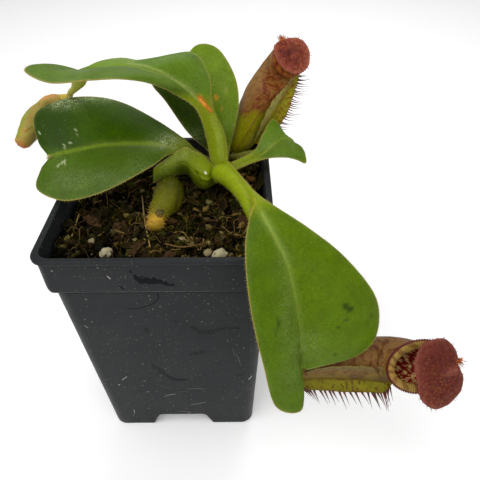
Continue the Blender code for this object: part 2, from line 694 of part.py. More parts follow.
def make_stone(name, place, size, squash, mat):
    """A small stone or bark piece lying in the soil."""
    bm = bmesh.new()
    bmesh.ops.create_icosphere(bm, subdivisions=2, radius=1.0)
    spin = random.random() * math.pi
    for vert in bm.verts:
        rough = 1 + 0.28 * noise.noise(vert.co * 1.3 + Vector(place) * 0.37)
        x, y, z = vert.co * rough
        x, y, z = x * size, y * size * squash[0], z * size * squash[1]
        vert.co = Vector((place[0] + x * math.cos(spin) - y * math.sin(spin),
                          place[1] + x * math.sin(spin) + y * math.cos(spin), place[2] + z)) * MM
    mesh = bpy.data.meshes.new(name)
    bm.to_mesh(mesh)
    bm.free()
    mesh.materials.append(mat)
    obj = bpy.data.objects.new(name, mesh)
    bpy.context.scene.collection.objects.link(obj)
    return obj


def grown_copy(obj, margin):
    """A copy of an object with every point moved out along its normal."""
    copy = bpy.data.objects.new(obj.name + "_room", obj.data.copy())
    bpy.context.scene.collection.objects.link(copy)
    bm = bmesh.new()
    bm.from_mesh(copy.data)
    bm.normal_update()
    moves = [vert.normal * margin * MM for vert in bm.verts]
    for vert, move in zip(bm.verts, moves):
        vert.co += move
    bm.to_mesh(copy.data)
    bm.free()
    return copy


def centre_on_box():
    """Move the whole part so that its origin lies under the middle of its box."""
    low = np.full(3, np.inf)
    high = np.full(3, -np.inf)
    for obj in bpy.data.objects:
        for vert in obj.data.vertices:
            low = np.minimum(low, vert.co)
            high = np.maximum(high, vert.co)
    shift = Vector(((low[0] + high[0]) / 2, (low[1] + high[1]) / 2, low[2]))
    for obj in bpy.data.objects:
        for vert in obj.data.vertices:
            vert.co -= shift


def main():
    clear_scene()
    black = material("pot_plastic", (0.035, 0.036, 0.038), 0.45)
    earth = material("soil", (0.09, 0.062, 0.035), 0.95)
    pale = material("stone", (0.42, 0.38, 0.3), 0.8)
    bark = material("bark", (0.16, 0.1, 0.06), 0.85)
    green = material("leaf", (0.13, 0.27, 0.03), 0.45)
    stem = material("stem", (0.3, 0.42, 0.07), 0.5)
    cup_red = material("pitcher", (0.33, 0.16, 0.07), 0.5)
    lip_gold = material("lip", (0.35, 0.3, 0.05), 0.35)
    lid_red = material("lid", (0.28, 0.06, 0.05), 0.6)
    young = material("young_pitcher", (0.42, 0.33, 0.06), 0.5)

    make_pot(black)
    soil = make_soil(earth)
    crown = make_crown(stem)

    front = Pitcher("pitcher_front", FRONT_AXIS, FRONT_RADII, FRONT_MOUTH, FRONT_SIDES, FRONT_OVAL)
    front_cup = make_cup(front, 4, FRONT_WINGS, cup_red)
    make_lip(front, "pitcher_front_lip", FRONT_LIP, lip_gold)
    seat = front.rim_point(math.pi, front.radius[-1] + 0.4 * FRONT_LIP, NECK_RISE)
    make_lid("pitcher_front_lid", FRONT_HINGE, FRONT_LID, FRONT_DOME, seat, FRONT_SPUR, lid_red)

    back = Pitcher("pitcher_back", BACK_AXIS, BACK_RADII, BACK_MOUTH, BACK_SIDES, BACK_OVAL)
    back_cup = make_cup(back, 4, BACK_WINGS, cup_red)
    make_lip(back, "pitcher_back_lip", BACK_LIP, lip_gold)
    seat = back.rim_point(math.pi, back.radius[-1] + 0.4 * BACK_LIP, NECK_RISE)
    make_lid("pitcher_back_lid", BACK_HINGE, BACK_LID, BACK_DOME, seat, BACK_SPUR, lid_red)

    left = tube("pitcher_left", LEFT_AXIS, LEFT_RADII, 16, 13, young)
    small = tube("pitcher_small", SMALL_AXIS, SMALL_RADII, 16, 13, young)

    leaf_front = leaf_solid("leaf_front", LEAF_FRONT, KEEL_FRONT, green)
    leaf_left = leaf_solid("leaf_left", LEAF_LEFT, KEEL_LEFT, green)
    leaf_top = leaf_solid("leaf_top", LEAF_TOP, KEEL_TOP, green)
    leaf_back = leaf_solid("leaf_back", LEAF_BACK, KEEL_BACK, green, steps=2)
    leaf_right = leaf_solid("leaf_right", LEAF_RIGHT, KEEL_RIGHT, green, spread=2.0, steps=2)
    leaf_low = leaf_solid("leaf_low", LEAF_LOW, KEEL_LOW, stem, steps=2)
    combine(leaf_front, [tube("tendril", TENDRIL_FRONT, TENDRIL_FRONT_RADII, 8, 7)])
    combine(leaf_top, [tube("tendril", TENDRIL_TOP, TENDRIL_TOP_RADII, 8, 10)])
    combine(leaf_right, [tube("tendril", TENDRIL_RIGHT, TENDRIL_RIGHT_RADII, 8, 14)])
    neighbours = {
        leaf_front: (crown, front_cup),
        leaf_left: (crown,),
        leaf_top: (crown, left),
        leaf_back: (crown,),
        leaf_right: (crown, back_cup),
        leaf_low: (crown, leaf_left),
    }
    for leaf, others in neighbours.items():
        for other in others:
            combine(leaf, [grown_copy(other, GAP)], "DIFFERENCE")
        keep_largest(leaf)

    rocks = []
    for number, (x, y, size) in enumerate(STONES, 1):
        place = (x, y, ground(x, y) + 0.25 * size)
        rocks.append(make_stone(f"stone_{number}", place, size, (0.8, 0.7), pale))
    for number, (x, y, size) in enumerate(BARKS, 1):
        place = (x, y, ground(x, y) + 0.25 * size)
        rocks.append(make_stone(f"bark_{number}", place, size, (0.6, 0.35), bark))
    combine(soil, [grown_copy(other, GAP) for other in [crown, small] + rocks], "DIFFERENCE")
    centre_on_box()


main()
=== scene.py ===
"""The potted pitcher plant, dressed: fine leaves, hairy stalks, mottled cups, mossy soil.

Sizes are in millimetres from the middle of the pot's base, front along -Y, as in the part's own
source, and they are turned into metres in the row's frame when a mesh is made.
"""

import math

import bmesh
import bpy
import numpy as np
from mathutils import Matrix, Vector, noise


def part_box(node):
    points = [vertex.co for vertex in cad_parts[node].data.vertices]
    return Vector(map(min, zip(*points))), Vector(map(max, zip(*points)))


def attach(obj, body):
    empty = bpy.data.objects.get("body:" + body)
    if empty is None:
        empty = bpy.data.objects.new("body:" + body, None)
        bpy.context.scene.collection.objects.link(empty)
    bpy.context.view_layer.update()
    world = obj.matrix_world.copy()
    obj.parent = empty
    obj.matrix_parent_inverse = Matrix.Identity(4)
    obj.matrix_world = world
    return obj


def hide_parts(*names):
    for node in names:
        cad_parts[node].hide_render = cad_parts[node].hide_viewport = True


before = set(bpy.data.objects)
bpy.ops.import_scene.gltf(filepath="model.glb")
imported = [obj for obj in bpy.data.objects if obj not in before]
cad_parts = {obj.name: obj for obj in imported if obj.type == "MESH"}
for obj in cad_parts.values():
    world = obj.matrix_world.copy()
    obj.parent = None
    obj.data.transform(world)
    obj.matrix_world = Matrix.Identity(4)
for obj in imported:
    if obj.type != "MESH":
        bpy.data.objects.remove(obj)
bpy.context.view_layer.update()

MM = 0.001
POT_LOW, POT_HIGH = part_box("pot")
MIDDLE = np.array([(POT_LOW[0] + POT_HIGH[0]) / 2, (POT_LOW[1] + POT_HIGH[1]) / 2, POT_LOW[2]])

# Camera, solved from the photograph: place, turns in degrees and focal length in pixels.
CAMERA = (31.36, -164.73, 241.45)
PITCH, YAW, ROLL = 40.99, -0.15, -0.59
FOCAL = 474.0
FRAME_SIZE = 480
CENTRE = FRAME_SIZE / 2
SENSOR = 36.0

# Pot and soil, as in the part's source, but with squarer collar corners and narrower notch tops.
RIM_WIDTH = 89.0
POT_HEIGHT = 127.0
FLANGE_REACH = 1.5
FLANGE_THICK = 1.8
COLLAR_HEIGHT = 17.8
COLLAR_STEP = 1.4
COLLAR_SLOPE = 2.5
BASE_WIDTH = 73.4
WALL = 1.2
POT_CORNER = 6.0
COLLAR_CORNER = 3.0
NOTCH_HEIGHT = 10.4
NOTCH_WIDTH = 33.0
NOTCH_TOP_WIDTH = 24.0
DRAIN_RADIUS = 4.0
DRAIN_OUT = 19.0
SOIL_TOP = 118.0
SOIL_RELIEF = 2.6
SOIL_FRONT_RISE = 3.4
CROWN = (22.5, 12.5, 127.5)
BLADE = 0.8
CUP_WALL = 1.1
MOUTH_START = 0.5
SOIL_GAP = 0.3            # between the soil and the pot's wall and floor
LOOSE_REACH = 38.5        # loose pieces lie within this far of the pot's middle

# Cross lines of the leaves, from inside the crown to the notch: left margin, rib and right margin.
# They follow the part's source, with margins up to 3 mm further out where the photograph shows them.
LEAF_FRONT = (
    ((25, 13, 131), (23, 11, 131), (21, 9, 129)),
    ((26.5, 10.5, 133.5), (24.4, 7.4, 133), (21.4, 5.9, 130.5)),
    ((32.4, -5.7, 136), (30, -8.4, 135), (27.5, -8.2, 132)),
    ((37.5, -20.6, 139), (35.6, -23.3, 138.5), (34.1, -23, 136)),
    ((44, -28, 138.5), (38.2, -29, 138), (34.6, -30.2, 136)),
    ((56.5, -33.9, 132.5), (43, -39, 134), (33, -41, 134)),
    ((69.5, -40.5, 124), (47, -47, 129), (33, -52, 129)),
    ((81, -47.5, 110.5), (50, -53, 119), (35, -59, 114)),
    ((82, -54, 97), (52, -57, 108), (39, -66, 96)),
    ((75, -58, 90), (53, -60, 98), (44, -72, 78)),
    ((62, -61, 88), (53, -61, 91), (54, -71, 74)),
    ((56, -62, 87), (54, -62, 88), (54, -63, 86)),
)
LEAF_LEFT = (
    ((21, 9, 127), (21, 11, 129), (21, 14, 130)),
    ((17.5, 9, 129.5), (18, 11, 131), (18, 16, 132)),
    ((10.8, 9.8, 133.5), (11, 12, 135), (12, 17, 136)),
    ((3, 9.3, 138.5), (5, 12, 140), (7, 18, 141)),
    ((-5, 0, 138), (-6, 11, 142), (-4.5, 23.8, 146.6)),
    ((-16, -7, 135), (-18, 10, 143), (-19, 29.8, 151.8)),
    ((-27, -11, 132), (-27, 9, 143), (-32, 31.2, 154.2)),
    ((-39, -13, 131), (-35, 7, 142), (-45, 29, 154)),
    ((-50, -8, 133), (-41, 6, 141), (-55, 22, 151)),
    ((-50, 0, 137), (-45, 5, 140), (-53, 12, 144)),
    ((-48, 4, 139), (-47, 5, 140), (-48, 6, 140)),
)
LEAF_TOP = (
    ((18.4, 9, 129.5), (21.8, 8, 131), (26, 9, 129.5)),
    ((18.6, 11, 133.5), (22, 10.6, 134), (26, 11.5, 133.5)),
    ((17, 14, 144), (21, 14, 145), (25, 17, 143)),
    ((14, 12, 157), (18, 15, 157), (21, 17, 154)),
    ((6, 9, 165), (14, 13, 163), (20, 17, 160)),
    ((0, 1, 172), (8, 11, 169), (19, 22, 167)),
    ((-9, -6, 177), (-1, 8, 174), (12, 28, 174)),
    ((-19, -9, 178), (-12, 9, 176), (-4, 24, 172)),
    ((-34, -6, 176), (-21, 11, 174), (-15, 25, 173)),
    ((-45.4, 3, 176.6), (-27, 13, 172), (-22.5, 21.8, 173.2)),
    ((-43.5, 11, 176), (-29, 14.5, 172), (-26.8, 19.2, 172.2)),
    ((-33.5, 16.2, 171.5), (-31.5, 16.6, 171.5), (-30.3, 17.3, 171.6)),
)
LEAF_BACK = (
    ((20, 13, 127), (22.5, 14, 128), (26, 15, 128)),
    ((20, 16, 129), (23, 18, 130), (26, 19, 130)),
    ((17, 21, 133), (22, 24, 133), (27, 26, 133)),
    ((9, 19, 143), (19, 26, 141), (29, 27, 141)),
    ((0, 26, 154), (14, 31, 149), (31, 32, 151)),
    ((-6, 31, 160), (10, 36, 157), (29, 40, 160)),
    ((-4, 38, 163), (8, 40, 161), (22, 46, 169)),
    ((2, 42, 163), (6, 42, 162), (13, 48, 170)),
    ((4, 43, 163), (5, 43, 163), (6, 44, 164)),
)
LEAF_RIGHT = (
    ((24, 13.5, 129.5), (24.5, 12, 129), (25, 10.5, 128.5)),
    ((27, 14, 131), (28, 12, 130), (29, 10, 130)),
    ((33, 14, 134), (34, 12, 133), (36, 10, 133)),
    ((38, 15, 137), (41, 13, 136), (43, 9, 136)),
    ((41, 20, 141), (45, 15, 139), (50, 8, 137)),
    ((45, 26, 145), (47.5, 16, 140.5), (55, 6, 137)),
    ((48, 25, 144), (49.5, 17, 141), (58.8, 6, 135.5)),
    ((51, 21, 141), (52.5, 17.5, 140.5), (59, 11, 136.8)),
    ((53.5, 19, 140), (55, 16.5, 139.3), (58, 14.5, 138)),
)
LEAF_LOW = (
    ((21.5, 8, 126), (21.5, 8.5, 129), (21, 10, 132)),
    ((20.8, 5.7, 126), (19.5, 5.6, 131), (19.2, 8.5, 133.8)),
    ((15.9, 4.9, 123.5), (17, 2.9, 131), (15.6, 10.5, 136.8)),
    ((11.5, 7.3, 124.5), (12.1, 4.4, 133), (11.9, 10.5, 139)),
    ((8.2, 9.1, 128.5), (8.2, 5.2, 136.5), (7.9, 10, 141)),
    ((1.6, 6.5, 129), (1.8, 6.8, 133.8), (1.9, 9.6, 137.4)),
    ((-2.8, 4.2, 129), (-2.7, 4.4, 132.6), (-2.5, 6.2, 135.7)),
    ((-5.2, 1.9, 129), (-4.9, 2.7, 131.8), (-4.6, 3.5, 135)),
)
# The front leaf's round stalk, from the crown to the blade.
STALK_FRONT = ((21.3, 8, 127), (22, 6, 130), (23.6, 3.6, 132), (27.5, -3.3, 133.6), (31.2, -13.2, 135),
               (33.6, -20.6, 135.6), (35.2, -25, 134), (37, -29, 131))
# Depths of the leaves' keels at their cross lines, and how far the stalks bulge at theirs.
KEEL_FRONT = (3, 3, 3, 3, 3, 2.4, 2, 1.8, 1.6, 1.5, 1.6, 2.2)
KEEL_LEFT = (5, 6, 6, 3.6, 2.2, 1.8, 1.6, 1.5, 1.5, 1.4, 1.4)
KEEL_TOP = (4.4, 4.4, 3.6, 2.2, 1.8, 1.8, 1.7, 1.6, 1.5, 1.4, 1.3, 1.2)
KEEL_BACK = (4, 4, 3.4, 2.4, 2, 1.8, 1.6, 1.5, 1.4)
KEEL_RIGHT = (2.6, 2.6, 2.4, 2, 1.6, 1.4, 1.3, 1.2, 1.2)
KEEL_LOW = (1.2,) * 8
STALK_ARCH = (0.25, 0.25, 0.25, 0.12, 0.06)

# Paths of the tendrils, from the leaf to the pitcher.
TENDRIL_FRONT = ((53, -61, 88.5), (52.5, -61, 84.5), (49.5, -59.5, 82), (47, -57, 79.5))
TENDRIL_TOP = ((-29.5, 15.2, 171.2), (-32, 19, 167), (-36, 23, 161.7), (-40.2, 28, 157.5),
               (-43.5, 34.5, 153), (-48, 38, 150.6))
TENDRIL_RIGHT = ((51, 17.5, 140), (51.5, 21, 139.2), (52, 26, 134.5), (47.5, 27.5, 131),
                 (41, 25.8, 129.6), (34, 24.6, 129), (29.6, 24.2, 127.8), (27.6, 26.4, 126.2),
                 (29.6, 31, 125.4))

# Each cup: its axis from base to mouth, its radii, the direction out of its mouth, how much wider its
# mouth is from front to back, and the direction of its front at its base and at its mouth.
FRONT_AXIS = ((47, -56.5, 79.5), (50, -56, 79), (55, -54.5, 79.5), (64, -53, 80), (74, -52.5, 80),
              (83.5, -52.5, 80.5), (91.5, -54, 81.5), (97, -57.5, 84), (99.1, -60.5, 86.7))
FRONT_RADII = (1.6, 4.4, 6.0, 7.0, 7.8, 8.2, 8.2, 8.1, 8.0)
FRONT_MOUTH = (0.15, -0.66, 0.735)
FRONT_OVAL = 1.54
FRONT_SIDES = ((0, -0.99, 0.14), (-0.98, -0.196, 0.024))
BACK_AXIS = ((33, 33.5, 124), (30.6, 33, 125.6), (31.4, 33.5, 130), (36, 36, 139), (42, 38.5, 150),
             (47.5, 41, 158.5), (51, 41.5, 164), (52.8, 37.5, 167.7))
BACK_RADII = (1.5, 3.2, 5.8, 7.5, 8.8, 8.0, 7.1, 6.5)
BACK_MOUTH = (0, -0.88, 0.475)
BACK_OVAL = 1.08
BACK_SIDES = ((0.27, -0.96, -0.05), (0.47, -0.42, -0.78))
# The two young pitchers: axis from base to tip and radii.
LEFT_AXIS = ((-48.5, 37.8, 150.2), (-54, 38, 149.5), (-57.5, 35.5, 147.5), (-60, 30, 144.4),
             (-61.7, 24.8, 141.2), (-63.2, 18.8, 138.9), (-63.9, 17.4, 138))
LEFT_RADII = (2.0, 2.5, 2.9, 4.6, 4.4, 3.1, 1.4)
SMALL_AXIS = ((0.4, 7, 127), (1.1, 2.3, 125.5), (0.8, -3.2, 124.2), (-1.2, -8.6, 123),
              (-2.6, -13, 122.2), (-2.9, -17, 121.8), (-2.9, -19, 121.6))
SMALL_RADII = (3.4, 5.9, 6.2, 5.0, 3.7, 3.3, 2.3)
# Each lid: the place of its hinge with the directions ahead and up, and its outline from the hinge.
FRONT_HINGE = ((114.9, -60.3, 89.5), (-0.915, -0.35, 0.2), (0.383, -0.594, 0.708))
BACK_HINGE = ((48.6, 37.9, 176.4), (0.455, -0.62, -0.639), (-0.114, -0.752, 0.649))
FRONT_LID = ((2.0, 0.5), (1.4, -0.7), (1.0, -3.6), (2.0, -6.2), (4.0, -8.4), (7.5, -9.7), (11.2, -9.8),
             (14.4, -9.5), (17.7, -7.9), (21.0, -4.0), (22.1, -0.6), (21.8, 3.5), (22.0, 6.6), (21.5, 9.6),
             (19.9, 11.9), (17.4, 13.9), (15.2, 14.9), (12.2, 14.9), (8.3, 14.1), (4.7, 12.4), (2.0, 10.7),
             (0.0, 6.6), (0.6, 4.4), (1.2, 2.2), (2.0, 0.5))
BACK_LID = ((1.0, -0.4), (0.8, -2.2), (1.3, -4), (3.0, -5), (4.6, -5.4), (6.6, -5.7), (9, -5.8),
            (11.3, -5.3), (13.7, -4.2), (15.7, -2.3), (16.8, 0.6), (16.5, 3.1), (14.8, 5.4), (12.2, 7),
            (9.1, 7.8), (5.9, 7.5), (3.4, 5.9), (1.9, 3.2), (1.2, 1.2), (1.0, -0.4))
# Stones and bark pieces: place and size.
STONES = ((-19.3, -33.6, 2.6), (23.6, -36, 2.9), (19, -35, 1.8), (-26, -27, 1.9), (8, -24, 1.8))
BARKS = ((-30, -12, 4.2), (-8, -30, 3.6), (4, -35, 3.2), (-18, -16, 3.4), (33, -16, 3.8),
         (20, -12, 3.0), (-33, 30, 4.0))

rng = np.random.default_rng(11)


# Small maths.

def unit(v):
    """Vectors scaled to length one."""
    v = np.asarray(v, float)
    return v / np.maximum(np.linalg.norm(v, axis=-1, keepdims=True), 1e-9)


def spline(points, where):
    """A smooth curve through the points, read at places from 0 to 1 along it."""
    points = np.asarray(points, float)
    flat = points.reshape(len(points), -1)
    last = len(flat) - 1
    padded = np.vstack([2 * flat[0] - flat[1], flat, 2 * flat[-1] - flat[-2]])
    at = np.clip(np.asarray(where, float), 0, 1) * last
    first = np.minimum(at.astype(int), last - 1)
    f = (at - first)[:, None]
    a, b, c, d = (padded[first + i] for i in range(4))
    curve = 2 * b + (c - a) * f
    curve = curve + (2 * a - 5 * b + 4 * c - d) * f ** 2
    curve = curve + (3 * b - a - 3 * c + d) * f ** 3
    return (curve / 2).reshape(len(at), *points.shape[1:])


def spline_value(values, where):
    """A smooth curve through plain numbers, read at places from 0 to 1 along it."""
    return spline(np.array(values, float)[:, None], where)[:, 0]


def read_along(where, at, vectors):
    """Vectors that are given at rising places, read at other places."""
    return np.stack([np.interp(where, at, vectors[:, k]) for k in range(3)], axis=-1)


def smooth(value, low, high):
    """0 below low, 1 above high and a soft step between."""
    f = np.clip((np.asarray(value, float) - low) / (high - low), 0, 1)
    return f * f * (3 - 2 * f)


def bell(value, width):
    """1 at zero, falling off over a width."""
    return np.exp(-(np.asarray(value, float) / width) ** 2)


def cloud(points, scale, seed):
    """Soft noise from -1 to 1 at each point; scale is the size of its lumps in millimetres."""
    shift = Vector((seed * 7.3, seed * 3.1, seed * 5.7))
    flat = np.asarray(points, float).reshape(-1, 3) / scale
    values = [noise.noise(Vector(p) + shift) for p in flat]
    return np.array(values).reshape(np.shape(points)[:-1])


def blend(low, high, f):
    """Mix two colours, or arrays of them."""
    f = np.asarray(f, float)[..., None]
    return np.asarray(low, float) * (1 - f) + np.asarray(high, float) * f


def srgb(*values):
    """A linear colour from 8-bit screen values."""
    v = np.array(values, float) / 255
    return np.where(v <= 0.04045, v / 12.92, ((v + 0.055) / 1.055) ** 2.4)


def camera_axes():
    """The camera's directions: ahead, right and up."""
    pitch, yaw, roll = (math.radians(a) for a in (PITCH, YAW, ROLL))
    ahead = np.array([math.sin(yaw) * math.cos(pitch), math.cos(yaw) * math.cos(pitch), -math.sin(pitch)])
    right = np.array([math.cos(yaw), -math.sin(yaw), 0.0])
    up = np.cross(right, ahead)
    return (ahead, right * math.cos(roll) + up * math.sin(roll),
            up * math.cos(roll) - right * math.sin(roll))


def picture(points):
    """Where points fall in the photograph's frame, in pixels."""
    ahead, right, up = camera_axes()
    d = np.asarray(points, float) - np.array(CAMERA)
    depth = d @ ahead
    return np.stack([CENTRE + FOCAL * (d @ right) / depth, CENTRE - FOCAL * (d @ up) / depth], axis=-1)


def pixel_ray(x, y):
    """The direction from the camera through a pixel of the photograph's frame."""
    ahead, right, up = camera_axes()
    return ahead + right * (x - CENTRE) / FOCAL + up * (CENTRE - y) / FOCAL


def stroke(tint, seen, ends, width, colour, amount=1.0):
    """Paint a line between two places of the photograph's frame, in pixels."""
    a, b = (np.asarray(e, float) for e in ends)
    along = np.clip(((seen - a) @ (b - a)) / ((b - a) @ (b - a)), 0, 1)
    far = np.linalg.norm(seen - a - along[..., None] * (b - a), axis=-1)
    return blend(tint, srgb(*colour), amount * (1 - smooth(far, 0.5 * width, width)))


def strokes(tint, seen, pairs, *layers):
    """Paint several lines; each layer is a width, a colour and an amount."""
    for ends in pairs:
        for layer in layers:
            tint = stroke(tint, seen, ends, *layer)
    return tint


def neighbours(path):
    """The pairs of neighbouring places along a path."""
    return list(zip(path, path[1:]))


# Meshes and materials.

def mesh_of(name, points, faces):
    """A mesh from points in millimetres, with its faces turned outwards."""
    points = np.asarray(points, float).reshape(-1, 3) * MM + MIDDLE
    mesh = bpy.data.meshes.new(name)
    mesh.from_pydata(points.tolist(), [], [list(map(int, face)) for face in faces])
    bm = bmesh.new()
    bm.from_mesh(mesh)
    bmesh.ops.recalc_face_normals(bm, faces=bm.faces)
    bm.to_mesh(mesh)
    bm.free()
    return mesh


def add_object(name, data):
    """A new object in the scene."""
    obj = bpy.data.objects.new(name, data)
    bpy.context.scene.collection.objects.link(obj)
    return obj


def make(name, points, faces, mat, tint, node=None, flat=False):
    """A piece of the part, in place of a CAD node if one is named.

    The tint is each point's colour, with its pale hair and painted sheen as its fourth value on a leaf.
    """
    mesh = mesh_of(name, points, faces)
    tint = np.asarray(tint, float)
    colours = np.zeros((len(mesh.vertices), 4))
    colours[:, :tint.shape[-1]] = np.clip(tint.reshape(-1, tint.shape[-1]), 0, 1)
    layer = mesh.attributes.new("tint", "FLOAT_COLOR", "POINT")
    layer.data.foreach_set("color", colours.ravel())
    mesh.polygons.foreach_set("use_smooth", [not flat] * len(mesh.polygons))
    mesh.materials.append(mat)
    obj = add_object(name, mesh)
    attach(obj, "root")
    if node:
        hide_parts(node)
    return obj


def grid_faces(rows, cols, start=0, closed=False):
    """Quads between rows of points; closed joins each row's end to its start."""
    faces = []
    for i in range(rows - 1):
        for j in range(cols if closed else cols - 1):
            k = (j + 1) % cols
            a = start + i * cols
            faces.append((a + j, a + k, a + cols + k, a + cols + j))
    return faces


def capped(rings):
    """Points and faces of a closed body from rings, with a middle point on each end."""
    rings = np.asarray(rings, float)
    rows, cols = rings.shape[:2]
    points = np.vstack([rings.reshape(-1, 3), rings[0].mean(axis=0), rings[-1].mean(axis=0)])
    faces = grid_faces(rows, cols, closed=True)
    for row, middle in ((0, rows * cols), (rows - 1, rows * cols + 1)):
        faces += [(middle, row * cols + j, row * cols + (j + 1) % cols) for j in range(cols)]
    return points, faces


def cap_tint(tint):
    """Colours of a closed body's rings, with one more for the middle point on each end."""
    tint = np.asarray(tint)
    return np.vstack([tint.reshape(-1, 3), tint[0, 0], tint[-1, 0]])


class Shader:
    """A Principled material built node by node; an input takes a node's output or a fixed value."""

    def __init__(self, name, **inputs):
        self.mat = bpy.data.materials.new(name)
        self.mat.use_nodes = True
        self.tree = self.mat.node_tree
        self.coords = self.node("ShaderNodeTexCoord", {}).outputs["Object"]
        self.set(**inputs)

    def feed(self, socket, value):
        """Give a socket a node's output, a number or a colour."""
        if isinstance(value, bpy.types.NodeSocket):
            self.tree.links.new(value, socket)
        elif isinstance(value, (int, float)):
            socket.default_value = value
        else:
            socket.default_value = (*value, 1.0)

    def set(self, **inputs):
        """Set inputs of the Principled node; an underscore stands for a space in an input's name."""
        for label, value in inputs.items():
            self.feed(self.tree.nodes["Principled BSDF"].inputs[label.replace("_", " ")], value)

    def node(self, kind, inputs, **settings):
        """A new node with its settings and inputs."""
        node = self.tree.nodes.new(kind)
        for label, value in settings.items():
            setattr(node, label, value)
        for label, value in inputs.items():
            self.feed(node.inputs[label], value)
        return node

    def paint(self, output="Color"):
        """What is painted on the mesh: its colour, or as Alpha its pale hair and painted sheen."""
        return self.node("ShaderNodeAttribute", {}, attribute_name="tint").outputs[output]

    def noise(self, size, detail=4.0):
        """Noise with lumps of about a size in millimetres."""
        inputs = {"Vector": self.coords, "Scale": 1 / (size * MM), "Detail": detail}
        return self.node("ShaderNodeTexNoise", inputs).outputs["Fac"]

    def span(self, value, low, high, to_low=0.0, to_high=1.0):
        """Stretch a value from one range to another."""
        inputs = {"Value": value, "From Min": low, "From Max": high, "To Min": to_low, "To Max": to_high}
        return self.node("ShaderNodeMapRange", inputs).outputs["Result"]

    def mix(self, factor, a, b, how="MIX"):
        """Mix two colours."""
        inputs = {0: factor, 6: a, 7: b}
        return self.node("ShaderNodeMix", inputs, data_type="RGBA", blend_type=how).outputs[2]

    def times(self, a, b):
        """The product of two values."""
        return self.node("ShaderNodeMath", {0: a, 1: b}, operation="MULTIPLY").outputs[0]

    def dots(self, cell, radius, share):
        """Round dots of a radius in cells of a size, both in millimetres, in a share of the cells."""
        cells = self.node("ShaderNodeTexVoronoi", {"Vector": self.coords, "Scale": 1 / (cell * MM)})
        near = self.span(cells.outputs["Distance"], 0.6 * radius / cell, radius / cell, 1.0, 0.0)
        split = self.node("ShaderNodeSeparateColor", {"Color": cells.outputs["Color"]})
        return self.times(near, self.span(split.outputs["Red"], share - 0.01, share + 0.01, 1.0, 0.0))

    def bump(self, height, depth, strength=1.0):
        """Relief of a depth in millimetres."""
        inputs = {"Height": height, "Distance": depth * MM, "Strength": strength}
        self.set(Normal=self.node("ShaderNodeBump", inputs).outputs["Normal"])


def painted(name, roughness, vary, size, relief, **inputs):
    """A material that shows the painted colour, with fine variation and relief on it."""
    s = Shader(name, Roughness=roughness, **inputs)
    shade = s.span(s.noise(size, 6.0), 0.3, 0.7, 1 - vary, 1 + vary)
    s.set(Base_Color=s.mix(1.0, s.paint(), shade, "MULTIPLY"))
    s.set(Roughness=s.span(s.noise(size * 4), 0.3, 0.7, roughness - 0.07, roughness + 0.07))
    s.bump(s.noise(size * 0.6, 5.0), relief)
    return s.mat


# Pale specks on the pot: their cell, their radius, the share of cells with one, and their strength.
POT_SPECKS = (
    (1.7, 0.28, 0.5, 0.4),
    (3.2, 0.36, 0.4, 0.6),
    (1.1, 0.17, 0.5, 0.25),
    (8.0, 0.5, 0.4, 0.9),
)


def pot_material():
    """Charcoal plastic with a fine dust of pale specks."""
    s = Shader("pot_plastic_worn", Roughness=0.42, Specular_IOR_Level=0.06)
    base = s.mix(s.span(s.noise(30), 0.35, 0.65), srgb(41, 43, 44), srgb(47, 48, 49))
    base = s.mix(1.0, base, s.paint(), "MULTIPLY")
    for cell, radius, share, strength in POT_SPECKS:
        base = s.mix(s.times(s.dots(cell, radius, share), strength), base, srgb(150, 148, 138))
    s.set(Base_Color=base, Roughness=s.span(s.noise(8), 0.3, 0.7, 0.34, 0.46))
    s.bump(s.noise(0.5, 3.0), 0.05, 0.5)
    return s.mat


def leaf_material():
    """Leaf skin: the painted colour, pale pores and, where it is frosted, fine pale hairs, which also give a
    painted sheen.
    """
    s = Shader("leaf_skin", Roughness=0.4, Specular_IOR_Level=0.09)
    shade = s.span(s.noise(1.0, 6.0), 0.3, 0.7, 0.88, 1.12)
    base = s.mix(1.0, s.paint(), shade, "MULTIPLY")
    base = s.mix(s.times(s.dots(1.3, 0.22, 0.7), 0.22), base, srgb(168, 184, 110))
    grain = s.span(s.noise(0.5, 3.0), 0.42, 0.6)
    # Pale hair, which also gives a painted sheen where the blade catches the light.
    base = s.mix(s.times(s.paint("Alpha"), grain), base, srgb(178, 188, 138))
    s.set(Base_Color=base, Roughness=s.span(s.noise(5), 0.3, 0.7, 0.34, 0.48))
    s.bump(s.noise(0.6, 5.0), 0.12)
    return s.mat


LEAF = leaf_material()
STALK = painted("stalk_skin", 0.45, 0.12, 0.8, 0.1, Specular_IOR_Level=0.12)
CUP = painted("cup_skin", 0.45, 0.3, 0.5, 0.1, Specular_IOR_Level=0.12)
LIP = painted("lip_skin", 0.35, 0.2, 0.4, 0.04, Specular_IOR_Level=0.2)
LID = painted("lid_skin", 0.62, 0.45, 0.35, 0.16, Specular_IOR_Level=0.1)
YOUNG = painted("young_skin", 0.5, 0.16, 0.6, 0.1, Specular_IOR_Level=0.15)
HAIR = painted("hair", 0.6, 0.1, 2.0, 0.02)
SOIL = painted("soil_crumb", 0.95, 0.45, 0.6, 0.5, Specular_IOR_Level=0.02)
BARK = painted("bark_rough", 0.9, 0.35, 0.7, 0.4, Specular_IOR_Level=0.1)
STONE = painted("stone_rough", 0.8, 0.2, 0.5, 0.25)
MOSS = painted("moss", 0.8, 0.3, 0.8, 0.1, Specular_IOR_Level=0.1)
POT = pot_material()
# Dirt on the pot; it also carries the painted highlight on the collar's lower edge.
DIRT_AND_HIGHLIGHT = painted("dried_dirt_and_highlight", 0.42, 0.2, 0.8, 0.0, Specular_IOR_Level=0.06)


# Hairs and bristles.

